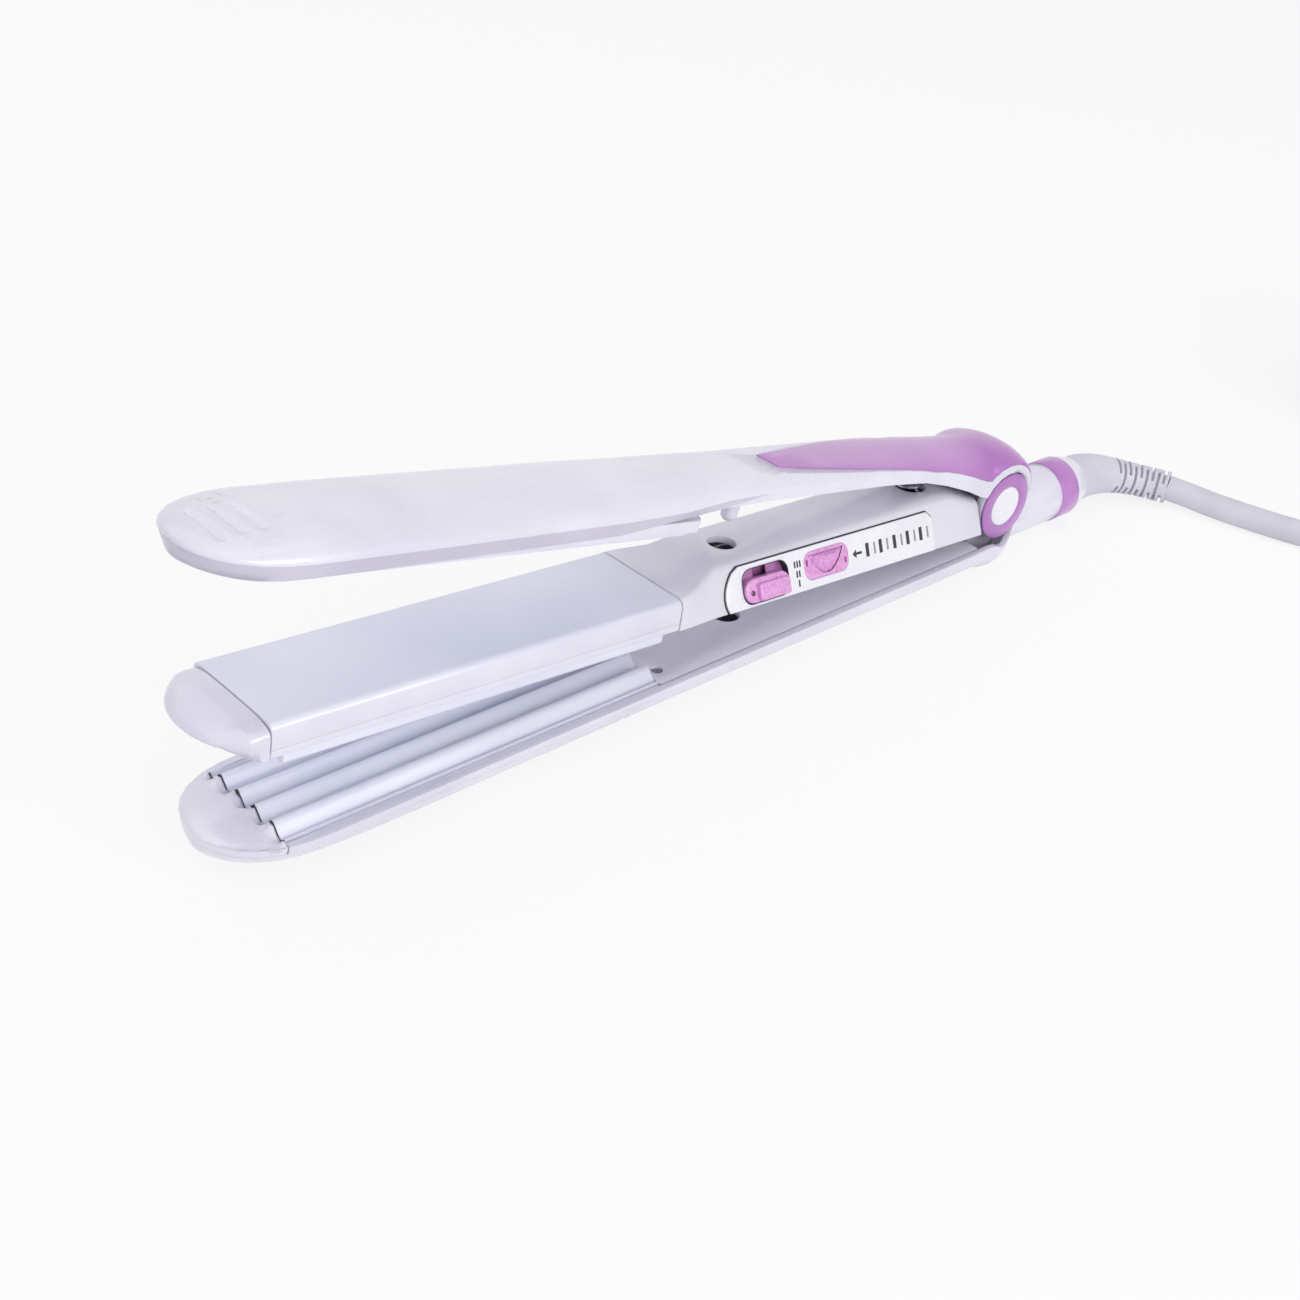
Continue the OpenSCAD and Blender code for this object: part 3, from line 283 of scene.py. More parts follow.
class Finish:
    """A material with one Principled shader, and short ways to feed its sockets from patterns."""

    def __init__(self, name, colour, roughness, metallic=0.0, coat=0.0, coat_roughness=0.08):
        self.material = bpy.data.materials.new(name)
        self.material.use_nodes = True
        self.nodes = self.material.node_tree.nodes
        self.links = self.material.node_tree.links
        self.shader = self.nodes["Principled BSDF"]
        self.shader.inputs["Base Color"].default_value = linear(colour)
        self.shader.inputs["Roughness"].default_value = roughness
        self.shader.inputs["Metallic"].default_value = metallic
        self.shader.inputs["Coat Weight"].default_value = coat
        self.shader.inputs["Coat Roughness"].default_value = coat_roughness
        self.place = self.nodes.new("ShaderNodeTexCoord").outputs["Object"]
        self.bumped = None

    def stretched(self, factors):
        """Coordinates that draw a pattern out along an axis whose factor is small."""
        mapping = self.nodes.new("ShaderNodeMapping")
        mapping.inputs["Scale"].default_value = factors
        self.links.new(self.place, mapping.inputs["Vector"])
        return mapping.outputs["Vector"]

    def noise(self, per_metre, detail, place=None):
        texture = self.nodes.new("ShaderNodeTexNoise")
        texture.inputs["Scale"].default_value = per_metre
        texture.inputs["Detail"].default_value = detail
        self.links.new(place or self.place, texture.inputs["Vector"])
        return texture.outputs["Fac"]

    def cells(self, per_metre):
        texture = self.nodes.new("ShaderNodeTexVoronoi")
        texture.inputs["Scale"].default_value = per_metre
        self.links.new(self.place, texture.inputs["Vector"])
        return texture.outputs["Distance"]

    def waves(self, per_metre, direction, distortion=0.0):
        texture = self.nodes.new("ShaderNodeTexWave")
        texture.bands_direction = direction
        texture.inputs["Scale"].default_value = per_metre
        texture.inputs["Distortion"].default_value = distortion
        self.links.new(self.place, texture.inputs["Vector"])
        return texture.outputs["Fac"]

    def tint(self, value, colours, start=PATTERN_LOW, end=PATTERN_HIGH):
        """Feeds the base colour with a blend of two colours, driven by value."""
        ramp = self.nodes.new("ShaderNodeValToRGB")
        first, second = ramp.color_ramp.elements
        first.position, second.position = start, end
        first.color, second.color = linear(colours[0]), linear(colours[1])
        self.links.new(value, ramp.inputs["Fac"])
        self.links.new(ramp.outputs["Color"], self.shader.inputs["Base Color"])

    def roughen(self, value, low, high):
        """Feeds the roughness with value, stretched to run from low to high."""
        stretch = self.nodes.new("ShaderNodeMapRange")
        stretch.inputs["From Min"].default_value = PATTERN_LOW
        stretch.inputs["From Max"].default_value = PATTERN_HIGH
        stretch.inputs["To Min"].default_value = low
        stretch.inputs["To Max"].default_value = high
        self.links.new(value, stretch.inputs["Value"])
        self.links.new(stretch.outputs["Result"], self.shader.inputs["Roughness"])

    def bump(self, value, height, strength):
        """Adds a relief, height metres deep, to those that the normal has already."""
        bump = self.nodes.new("ShaderNodeBump")
        bump.inputs["Strength"].default_value = strength
        bump.inputs["Distance"].default_value = height
        self.links.new(value, bump.inputs["Height"])
        if self.bumped:
            self.links.new(self.bumped, bump.inputs["Normal"])
        self.bumped = bump.outputs["Normal"]
        self.links.new(self.bumped, self.shader.inputs["Normal"])


def pearl(name, colours, roughness, metallic, coat):
    """Lacquer with fine flakes in it over a moulded shell, with the faint waves of the moulding."""
    finish = Finish(name, colours[0], roughness, metallic, coat)
    finish.tint(finish.noise(per_metre=45, detail=2), colours, start=0.35, end=0.65)
    flakes = finish.cells(per_metre=5200)
    finish.roughen(flakes, roughness - 0.05, roughness + 0.07)
    finish.bump(flakes, height=0.00001, strength=0.25)
    finish.bump(finish.noise(per_metre=60, detail=1), height=0.00012, strength=0.25)
    return finish.material


def moulded(name, colours, roughness, grain=1800, height=0.00003, coat=0.0):
    """Plain moulded plastic with a fine spark-eroded grain."""
    finish = Finish(name, colours[0], roughness, coat=coat)
    finish.tint(finish.noise(per_metre=70, detail=3), colours)
    grains = finish.noise(grain, detail=2)
    finish.roughen(grains, roughness - 0.06, roughness + 0.08)
    finish.bump(grains, height, strength=0.4)
    return finish.material


def glazed_plate(name, colours):
    """Ceramic glaze on an aluminium plate: a soft sheen with very faint streaks along the arm."""
    finish = Finish(name, colours[0], 0.38, metallic=0.12, coat=0.25, coat_roughness=0.2)
    streaks = finish.noise(per_metre=500, detail=2, place=finish.stretched((0.05, 1, 1)))
    finish.tint(finish.noise(per_metre=30, detail=2), colours, start=0.35, end=0.65)
    finish.roughen(streaks, 0.34, 0.42)
    finish.bump(finish.noise(per_metre=3000, detail=2), height=0.000004, strength=0.25)
    return finish.material


def drawn_metal(name, colours, roughness):
    """Drawn or turned metal with fine lines."""
    finish = Finish(name, colours[0], roughness, metallic=1.0)
    lines = finish.noise(per_metre=2500, detail=2, place=finish.stretched((1, 0.08, 1)))
    finish.tint(lines, colours)
    finish.roughen(lines, roughness - 0.08, roughness + 0.12)
    finish.bump(lines, height=0.00001, strength=0.4)
    return finish.material


def fired_ceramic(name):
    """Unglazed heater strip with a speckled, slightly porous face."""
    finish = Finish(name, "ece7da", 0.8)
    finish.tint(finish.noise(per_metre=1400, detail=4), ("e0d8c6", "f1eee5"))
    finish.bump(finish.cells(per_metre=1600), height=0.00005, strength=0.5)
    return finish.material


def printed_board(name):
    """Green board lacquer over raised, winding tracks."""
    finish = Finish(name, "2d6b3c", 0.35, coat=0.4)
    tracks = finish.waves(per_metre=160, direction="Y", distortion=2.5)
    finish.tint(tracks, ("245a32", "4b8f57"), start=0.45, end=0.55)
    finish.bump(tracks, height=0.00006, strength=0.6)
    return finish.material


def glitter(name, colours, roughness):
    """Pearl plastic with coarse flakes, as on the pressed controls."""
    finish = Finish(name, colours[0], roughness, metallic=0.12, coat=0.45, coat_roughness=0.12)
    flakes = finish.cells(per_metre=1500)
    finish.tint(flakes, colours, start=0.1, end=0.6)
    finish.bump(flakes, height=0.00004, strength=0.35)
    return finish.material


def sheathed_cord(name, colours):
    """Smooth PVC sheath with the slight waviness of the wires under it."""
    finish = Finish(name, colours[0], 0.42)
    finish.shader.inputs["Specular IOR Level"].default_value = 0.4
    finish.tint(finish.noise(per_metre=120, detail=2), colours)
    finish.roughen(finish.noise(per_metre=700, detail=2), 0.36, 0.5)
    finish.bump(finish.noise(per_metre=260, detail=2), height=0.0001, strength=0.3)
    return finish.material


def woven_strap(name):
    """A flat woven hook-and-loop strap."""
    finish = Finish(name, "55555f", 0.85)
    weave = finish.nodes.new("ShaderNodeMath")
    weave.operation = "MULTIPLY"
    finish.links.new(finish.waves(per_metre=420, direction="Y"), weave.inputs[0])
    finish.links.new(finish.waves(per_metre=420, direction="Z"), weave.inputs[1])
    finish.tint(weave.outputs[0], ("3f3f49", "6c6c78"), start=0.1, end=0.7)
    finish.bump(weave.outputs[0], height=0.0002, strength=0.7)
    return finish.material


FINISHES = {
    "pearl_shell": pearl(
        "pearl_white_lacquer", ("dcdbe8", "e6e5f0"), roughness=0.3, metallic=0.08, coat=0.55,
    ),
    "pink_panel": pearl(
        "pearl_mauve_lacquer", ("ae6fba", "bd7fc8"), roughness=0.3, metallic=0.22, coat=0.55,
    ),
    "pale_liner": moulded("pale_satin_plastic", ("dcdbe8", "e5e4ef"), roughness=0.42),
    "handle_grey": pearl(
        "pearl_grey_lacquer", ("dddce5", "e6e5ed"), roughness=0.34, metallic=0.05, coat=0.4,
    ),
    "panel_white": moulded(
        "white_gloss_panel", ("ebebf2", "f2f2f8"), roughness=0.25, grain=2600, height=0.00001, coat=0.4,
    ),
    "ceramic_plate": glazed_plate("ceramic_glaze", ("e0e3f1", "e8eaf6")),
    "plate_holder": moulded("heatproof_plastic", ("dedde9", "e6e5f0"), roughness=0.5),
    "heater_ceramic": fired_ceramic("fired_ceramic"),
    "pink_control": glitter("pink_glitter_plastic", ("cf86c8", "e3a5dc"), roughness=0.35),
    "dark_inner": moulded("dark_plastic", ("26222a", "322e37"), roughness=0.5),
    "steel": drawn_metal("drawn_steel", ("8d8f96", "a9abb3"), roughness=0.3),
    "bracket_plastic": moulded(
        "glass_filled_nylon", ("a2a2ac", "b1b1bb"), roughness=0.55, grain=900, height=0.00006,
    ),
    "lens": moulded(
        "plum_lens", ("4a1026", "5d1630"), roughness=0.15, grain=2000, height=0.00001, coat=0.6,
    ),
    "board": printed_board("board_lacquer"),
    "cord_sleeve": sheathed_cord("white_cord_sheath", ("cfcdd8", "dad8e2")),
    "tie_strap": woven_strap("woven_strap"),
    "pin_brass": drawn_metal("plated_brass", ("b79a5c", "d0b476"), roughness=0.25),
}
# A darker grey for the downward-facing belt: painted shade where the belt turns away from the light above
BELT_PAINTED_SHADE = pearl("pearl_belt_painted_shade", ("c4c0d0", "cfcbda"), roughness=0.36, metallic=0.08, coat=0.4)
# Dark print for the scale, also used for the panel's joint line and for the painted shade lining the
# switch recess
DARK_PRINT_JOINT_AND_SHADE = moulded("dark_print_joint_and_shade", ("2b2933", "35333e"), roughness=0.6)
PRINT_GREY = moulded("grey_print", ("8f8d9c", "9c9aa8"), roughness=0.6)
RECESS_PLUM = glitter("plum_glitter_plastic", ("a0609a", "b878b2"), roughness=0.4)
# A dark colour for the painted shadow in the gap where the flutes meet the tip
GAP_SHADE_DARK = moulded("painted_gap_shade", ("34333c", "403f49"), roughness=0.7)

# ---- Frames of the arms ------------------------------------------------------

BODY_OF = {node: body for body, nodes in record["behaviour"]["bodies"].items() for node in nodes}
SLOT_OF = {part["node"]: part["material_slot"] for part in record["subparts"]}
JOINTS = {joint["name"]: joint for joint in record["behaviour"]["joints"]}
MIDDLE_OPEN = math.radians(-JOINTS["middle_hinge"]["range_deg"][0])
UPPER_OPEN = MIDDLE_OPEN + math.radians(-JOINTS["upper_hinge"]["range_deg"][0])
# Height of the hinge's axis over the table, in millimetres
HINGE_HEIGHT = 17.2


def arm_frame(angle):
    """An arm's own frame: x from the hinge to the tip, y to the side with the controls, z up."""
    hinge = Matrix.Translation(mm(0, 0, HINGE_HEIGHT))
    return hinge @ Matrix.Rotation(angle, 4, "Y") @ Matrix.Rotation(math.pi, 4, "Z")


LOWER = arm_frame(0)
MIDDLE = arm_frame(MIDDLE_OPEN)
UPPER = arm_frame(UPPER_OPEN)
# The leaning side face of the handle: x from the hinge to the tip, y up the face, z inwards
FACE_LEAN = math.radians(24.54)
FACE_FOOT = Matrix.Translation(mm(0, 12.2, -4.9))
SIDE_FACE = MIDDLE @ FACE_FOOT @ Matrix.Rotation(math.pi / 2 + FACE_LEAN, 4, "X")

# ---- Tools of the modelling --------------------------------------------------

# Lengths are metres here
USUAL_EDGE = 0.00012
SMOOTH_BELOW = math.radians(32)
FLAT_WITHIN = math.radians(0.6)
MERGE = 0.000002
CORNER_SEGMENTS = 5
# Weights along x, y and z that give different places different sums
ORDER_WEIGHTS = Vector((1, 0.7310585, 0.417022))


def smooth_mesh(bm, name, materials):
    """A mesh of bm, in order of place, smooth but for its sharp edges. bm is freed."""
    bm.verts.sort(key=lambda v: v.co.dot(ORDER_WEIGHTS))
    bm.faces.sort(key=lambda f: f.calc_center_median().dot(ORDER_WEIGHTS))
    mesh = bpy.data.meshes.new(name)
    bm.to_mesh(mesh)
    bm.free()
    mesh.shade_smooth()
    mesh.set_sharp_from_angle(angle=SMOOTH_BELOW)
    for material in materials:
        mesh.materials.append(material)
    return mesh


def finish_piece(bm, name, body, slot, *materials):
    """An object of bm, riding on its body, in the slot's finish unless others are given."""
    mesh = smooth_mesh(bm, name, materials or [FINISHES[slot]])
    piece = bpy.data.objects.new(name, mesh)
    scene.collection.objects.link(piece)
    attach(piece, body)
    return piece


def finish_new(bm, name, body, slot, *materials):
    """A finished piece of a shape that is built here: doubles merged, and normals pointing outwards."""
    bmesh.ops.remove_doubles(bm, verts=bm.verts, dist=MERGE)
    bmesh.ops.recalc_face_normals(bm, faces=bm.faces)
    return finish_piece(bm, name, body, slot, *materials)


def round_edges(bm, width, angle=40, segments=2, keep=None):
    """Bevels the edges that turn by more than angle in degrees, and that keep accepts."""
    sharp = [
        e for e in bm.edges
        if e.is_manifold and e.calc_face_angle(0) > math.radians(angle) and (keep is None or keep(e))
    ]
    if width and sharp:
        bmesh.ops.bevel(
            bm, geom=sharp, offset=width, segments=segments, profile=0.5,
            affect="EDGES", clamp_overlap=True, material=-1,
        )


def merged_copy(node, join_flat=True):
    """The node's shape with its loose triangles merged, and flat ones joined unless told not to."""
    bm = bmesh.new()
    bm.from_mesh(frame["nodes"][node].data)
    bmesh.ops.remove_doubles(bm, verts=bm.verts, dist=MERGE)
    if join_flat:
        bmesh.ops.dissolve_limit(bm, angle_limit=FLAT_WITHIN, verts=bm.verts, edges=bm.edges)
    return bm


def block(bm, low, high):
    """A box between two corners in millimetres; its vertices."""
    low, high = mm(*low), mm(*high)
    place = Matrix.Translation((low + high) / 2) @ Matrix.Diagonal((*(high - low), 1))
    return bmesh.ops.create_cube(bm, size=1, matrix=place)["verts"]


def rounded_block(bm, low, high, corner):
    """A box whose four edges along z are rounded by corner millimetres."""
    verts = block(bm, low, high)
    edges = dict.fromkeys(e for v in verts for e in v.link_edges)
    upright = [e for e in edges if abs(e.verts[0].co.z - e.verts[1].co.z) > MERGE]
    bmesh.ops.bevel(
        bm, geom=upright, offset=corner / 1000, segments=CORNER_SEGMENTS, profile=0.5,
        affect="EDGES", clamp_overlap=True, material=-1,
    )


def rod(bm, radius, start, end, axis, sides=40):
    """A round bar along x or z, between two places in millimetres."""
    start, end = mm(*start), mm(*end)
    turn = Matrix.Rotation(math.pi / 2, 4, "Y") if axis == "X" else Matrix()
    bmesh.ops.create_cone(
        bm, cap_ends=True, segments=sides, radius1=radius / 1000, radius2=radius / 1000,
        depth=(end - start).length, matrix=Matrix.Translation((start + end) / 2) @ turn,
    )


def carved(bm, cutter):
    """bm without the space that the cutter fills, as a new bmesh. Both are freed."""
    shapes = []
    for name, source in (("carved_body", bm), ("carving_tool", cutter)):
        bmesh.ops.recalc_face_normals(source, faces=source.faces)
        mesh = bpy.data.meshes.new(name)
        source.to_mesh(mesh)
        source.free()
        shape = bpy.data.objects.new(name, mesh)
        scene.collection.objects.link(shape)
        shapes.append(shape)
    cut = shapes[0].modifiers.new("cut", "BOOLEAN")
    cut.operation = "DIFFERENCE"
    cut.solver = "EXACT"
    cut.object = shapes[1]
    bpy.context.view_layer.update()
    result = bmesh.new()
    result.from_object(shapes[0], bpy.context.evaluated_depsgraph_get())
    for shape in shapes:
        mesh = shape.data
        bpy.data.objects.remove(shape)
        bpy.data.meshes.remove(mesh)
    bmesh.ops.remove_doubles(result, verts=result.verts, dist=MERGE)
    return result


def slice_across(bm, place, normal, faces=None):
    """New edges where a plane crosses the faces."""
    chosen = faces if faces is not None else list(bm.faces)
    geometry = dict.fromkeys(chosen)
    for face in chosen:
        geometry.update(dict.fromkeys(face.edges))
        geometry.update(dict.fromkeys(face.verts))
    bmesh.ops.bisect_plane(bm, geom=list(geometry), dist=MERGE / 4, plane_co=place, plane_no=normal)


# ---- Carried-over nodes ------------------------------------------------------

# Edge rounding in metres where it differs from the usual one
EDGES = {
    "lower_shell": 0.00025,
    "middle_shell": 0.0003,
    "temperature_wheel": 0.0001,
    "hinge_rings": 0.00018,
    "hinge_caps": 0.0001,
    "cord_tie": 0.0002,
}
MADE_ANEW = {
    "cord_lead", "cord_coil", "cord_tail", "power_switch", "indicator_lens", "strain_relief",
    "plug_body", "plug_pins", "lower_tip_cap", "middle_tip_cap", "upper_shell", "switch_body",
    "middle_spring", "upper_spring", "upper_screws", "lower_screws", "middle_flat_plate",
}


def dress(node, bm=None, *materials):
    """A piece for the node: its own shape with sharp edges rounded, or the given shape as it is."""
    if bm is None:
        bm = merged_copy(node)
        round_edges(bm, EDGES.get(node, USUAL_EDGE))
    piece = finish_piece(bm, node + "_finished", BODY_OF[node], SLOT_OF[node], *materials)
    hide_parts(node)
    return piece


def make_flat_plate():
    """The glaze covers the flat plate's top and its rounded edges, and the side walls stay pale."""
    bm = merged_copy("middle_flat_plate")
    round_edges(bm, USUAL_EDGE)
    for face in bm.faces:
        face.material_index = 1 if abs(face.normal.y) > 0.9 else 0
    dress("middle_flat_plate", bm, FINISHES["ceramic_plate"], FINISHES["plate_holder"])


for node in frame["nodes"]:
    if node not in MADE_ANEW:
        dress(node)
make_flat_plate()

# ---- Return springs ----------------------------------------------------------

middle_spring = dress("middle_spring", merged_copy("middle_spring"))
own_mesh(middle_spring)
upper_spring = dress("upper_spring", merged_copy("upper_spring"))
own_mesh(upper_spring)

# ---- Tips of the lower and middle arms ---------------------------------------

# Places are millimetres in an arm's own frame: s towards the tip, v to the side, n up
PLATE_FRONT = 198.5
LOWER_LEN = 209.7
RIM = -7.4
FLUTE_PITCH = 5.6
FLUTE_DEPTH = 2.8
FLUTE_MEAN = -6.3
# At 1 the flutes are a zigzag, and less than 1 rounds their crests and valleys
FLUTE_SHARPNESS = 0.94
FLUTE_RUN_OUT = 3
RIM_BAND = 2.2
CROWN = 1.9
LOWER_CAP_SLICES = (199.3, 200.1, 200.8, 201.5, 202.4, 205.2)
LOWER_CAP_TOP = -8.9
MIDDLE_CAP_SLICES = (202.4, 205.4)
# The middle cap's underside: where it starts, its highest and lowest points, and how it is drawn in
UNDERSIDE_START = 201.5
UNDERSIDE_HIGH = -1.6
UNDERSIDE_DEPTH = 4.4
UNDERSIDE_RUN = 10
DRAWN_BACK = 3
NARROWED = 0.16
LIFT_AT_PLATE = 1.5
LIFT_BEYOND = 0.5
LIFT_RUN = 4
# The painted gap shade is this much of the plate's end, made dark and moved out and up to stand in front
# of it
GAP_SHADE_CUT = 0.3
GAP_SHADE_MOVE = mm(-0.32, 0, 0.04)
SHELF_LOW = (110.6, 12.24, -8.6)
SHELF_HIGH = (198.4, 13.05, -7.7)


def flute(v):
    """Height of the crimping plate's flutes across the arm."""
    phase = math.radians(360 * abs(v) / FLUTE_PITCH - 90)
    wave = math.asin(FLUTE_SHARPNESS * math.sin(phase)) / math.asin(FLUTE_SHARPNESS)
    return FLUTE_MEAN + FLUTE_DEPTH / 2 * wave


def tip_surface(s, v, half):
    """Height of the lower cap's top: the flutes run out into a smooth, slightly crowned tip."""
    beyond = max((s - PLATE_FRONT) / (LOWER_LEN - PLATE_FRONT), 0)
    fade = 1 - ease((s - PLATE_FRONT) / FLUTE_RUN_OUT)
    edge = ease((half - abs(v)) / RIM_BAND)
    dome = CROWN * (1 - min(abs(v) / half, 1) ** 2) * max(1 - beyond ** 2, 0) ** 0.5
    return RIM + edge * (dome + fade * (flute(v) - RIM - dome))


def half_widths(bm, into):
    """The largest distance from the middle plane at each place along an arm."""
    widest = {}
    for vert in bm.verts:
        place = into @ vert.co * 1000
        key = round(place.x, 2)
        widest[key] = max(widest.get(key, 0), abs(place.y))
    return widest


def make_lower_cap():
    bm = merged_copy("lower_tip_cap")
    for s in LOWER_CAP_SLICES:
        slice_across(bm, LOWER @ mm(s, 0, 0), (1, 0, 0))
    into = LOWER.inverted()
    widest = half_widths(bm, into)
    for vert in bm.verts:
        s, v, n = into @ vert.co * 1000
        if n > LOWER_CAP_TOP:
            half = max(widest[round(s, 2)], 0.5)
            vert.co = LOWER @ mm(s, v, tip_surface(s, v, half))
    dress("lower_tip_cap", bm)


def make_middle_cap():
    bm = merged_copy("middle_tip_cap")
    normal = MIDDLE.to_3x3() @ Vector((1, 0, 0))
    for s in MIDDLE_CAP_SLICES:
        slice_across(bm, MIDDLE @ mm(s, 0, 0), normal)
    into = MIDDLE.inverted()
    for vert in bm.verts:
        s, v, n = into @ vert.co * 1000
        # The underside is raised, and drawn in towards the nose, more the lower a point lies
        low = ease((UNDERSIDE_HIGH - n) / UNDERSIDE_DEPTH)
        reach = ease((s - UNDERSIDE_START) / UNDERSIDE_RUN)
        lift = LIFT_AT_PLATE + LIFT_BEYOND * ease((s - UNDERSIDE_START) / LIFT_RUN)
        drawn = low * reach
        vert.co = MIDDLE @ mm(s - DRAWN_BACK * drawn, v * (1 - NARROWED * drawn), n + lift * low)
    dress("middle_tip_cap", bm)


def make_end_gap_shade():
    """A dark sheet on the end of the lower crimping plate: painted shadow in the gap before the tip, where
    the flutes end.
    """
    bm = merged_copy("lower_crimp_plate")
    everything = bm.verts[:] + bm.edges[:] + bm.faces[:]
    bmesh.ops.bisect_plane(
        bm, geom=everything, dist=MERGE, plane_co=LOWER @ mm(PLATE_FRONT - GAP_SHADE_CUT, 0, 0),
        plane_no=(1, 0, 0), clear_outer=True,
    )
    bmesh.ops.holes_fill(bm, edges=[e for e in bm.edges if e.is_boundary])
    bmesh.ops.translate(bm, vec=GAP_SHADE_MOVE, verts=bm.verts)
    finish_new(bm, "crimp_end_gap_shade", "lower", "dark_inner", GAP_SHADE_DARK)


def make_plate_shelves():
    """Narrow pale shelves that close the gaps between the lower crimping plate and the rim."""
    bm = bmesh.new()
    for side in (-1, 1):
        verts = block(bm, SHELF_LOW, SHELF_HIGH)
        bmesh.ops.scale(bm, vec=(1, side, 1), verts=verts)
    round_edges(bm, 0.0001)
    bmesh.ops.transform(bm, matrix=LOWER, verts=bm.verts)
    finish_new(bm, "crimp_plate_shelves", "lower", "pearl_shell")


make_lower_cap()
make_middle_cap()
make_end_gap_shade()
make_plate_shelves()

# ---- Upper shell -------------------------------------------------------------

# Places are millimetres in the upper arm's frame: s towards the tip, v to the side, n up
PANEL_EDGE_S = (78, 212)
PANEL_EDGE_ABOVE = 7.5
PANEL_EDGE_WIDTH = (0.02, 0.42)
SAME_S = 0.01
GRIP_GROOVES = (203.4, 207, 211)
GRIP_MIDDLE = 0.8
GROOVE_HALF = 4.6
GROOVE_END = 1.6
GROOVE_WIDTH = 0.65
GROOVE_DEPTH = 0.7
RIDGE_BACK = 1.7
RIDGE_WIDTH = 0.7
RIDGE_HEIGHT = 0.12
# The part of the crown that is sliced finely enough to hold the grooves
GRIP_START = 198
GRIP_END = 214.5
GRIP_HALF = 9.5
GRIP_ABOVE = 8
GRIP_SLICES = [200 + 0.48 * i for i in range(30)]
GRIP_LANES = range(-7, 9)
GRIP_SMOOTHINGS = 3
# The belt starts here and grows over its run; it leans in, and it hangs lower beside the plates
BELT_START = 60
BELT_RUN = 60
BELT_WITHIN = 0.04
BELT_LEAN = 1.15
BELT_DROP = 0.35
PLATE_DROP = 1.1
PLATE_DROP_START = 114
PLATE_DROP_RUN = 14
# Around the tip, points below this height go with the belt, and are drawn back
NOSE_START = 205
NOSE_BELOW = 5.3
NOSE_RUN = 10
NOSE_BACK = 1.1
NOSE_CENTRE = 200
# The belt's faces that carry the painted shade: where they start, how far they turn outwards, and how far
# down they look
BELT_FACES_START = 70
BELT_OUTWARD = 0.2
BELT_DOWNWARD = (-0.9, -0.12)


def weld_panel_edge(bm, into):
    """Ahead of the coloured panel the two rows of points along its edge run together."""
    targets = {}
    start, end = PANEL_EDGE_S
    nearest, farthest = PANEL_EDGE_WIDTH
    for edge in bm.edges:
        first, second = edge.verts
        a, b = into @ first.co * 1000, into @ second.co * 1000
        across = abs(a.x - b.x) < SAME_S and nearest < (a - b).length < farthest
        on_edge = start < a.x < end and a.z > PANEL_EDGE_ABOVE
        if across and on_edge and first not in targets and second not in targets:
            targets[second] = first
    bmesh.ops.weld_verts(bm, targetmap=targets)


def grip_wave(s, v, back, width):
    """1 where the grip has a groove, or so far back from it, and 0 away from there."""
    across = 1 - ease((abs(v - GRIP_MIDDLE) - GROOVE_HALF) / GROOVE_END)
    return sum(across * math.exp(-((s - groove + back) / width) ** 2) for groove in GRIP_GROOVES)


def grip_height(s, v):
    ridges = RIDGE_HEIGHT * grip_wave(s, v, RIDGE_BACK, RIDGE_WIDTH)
    return ridges - GROOVE_DEPTH * grip_wave(s, v, 0, GROOVE_WIDTH)


def grip_face(face, into):
    """Whether a face is on the top of the tip, where the grooves are."""
    centre = into @ face.calc_center_median() * 1000
    inside = GRIP_START < centre.x < GRIP_END and abs(centre.y) < GRIP_HALF and centre.z > GRIP_ABOVE
    return inside and (into.to_3x3() @ face.normal).z > 0.5


def cut_grip(bm, into):
    """Slices the top of the tip finely, smooths it and sinks three grooves in it."""
    along = UPPER.to_3x3() @ Vector((1, 0, 0))
    up = UPPER.to_3x3() @ Vector((0, 0, 1))
    for s in GRIP_SLICES:
        slice_across(bm, UPPER @ mm(s, 0, 0), along, [f for f in bm.faces if grip_face(f, into)])
    for v in GRIP_LANES:
        slice_across(bm, UPPER @ mm(0, v, 0), (0, 1, 0), [f for f in bm.faces if grip_face(f, into)])
    grip = {f for f in bm.faces if grip_face(f, into)}
    inside = [v for v in bm.verts if v.link_faces and all(f in grip for f in v.link_faces)]
    for _ in range(GRIP_SMOOTHINGS):
        bmesh.ops.smooth_vert(
            bm, verts=inside, factor=0.5, use_axis_x=False, use_axis_y=False, use_axis_z=True,
        )
    for vert in inside:
        s, v, _ = into @ vert.co * 1000
        vert.co += up * grip_height(s, v) / 1000


def lean_belt(bm, into):
    """The narrow belt below the crown leans in towards its lower edge, under a crisp line."""
    placed = {vert: into @ vert.co * 1000 for vert in bm.verts}
    widest = {}
    for s, v, _ in placed.values():
        key = (round(s, 1), v > 0)
        widest[key] = max(widest.get(key, 0), abs(v))
    for vert, (s, v, n) in placed.items():
        outermost = s > BELT_START and abs(v) > widest[(round(s, 1), v > 0)] - BELT_WITHIN
        under_nose = s > NOSE_START and n < NOSE_BELOW
        reach = ease((s - BELT_START) / BELT_RUN)
        if outermost:
            v *= 1 - BELT_LEAN * reach / max(abs(v), 4)
        if outermost or under_nose:
            n -= BELT_DROP * reach + PLATE_DROP * ease((s - PLATE_DROP_START) / PLATE_DROP_RUN)
            s -= NOSE_BACK * ease((s - NOSE_START) / NOSE_RUN)
            vert.co = UPPER @ mm(s, v, n)


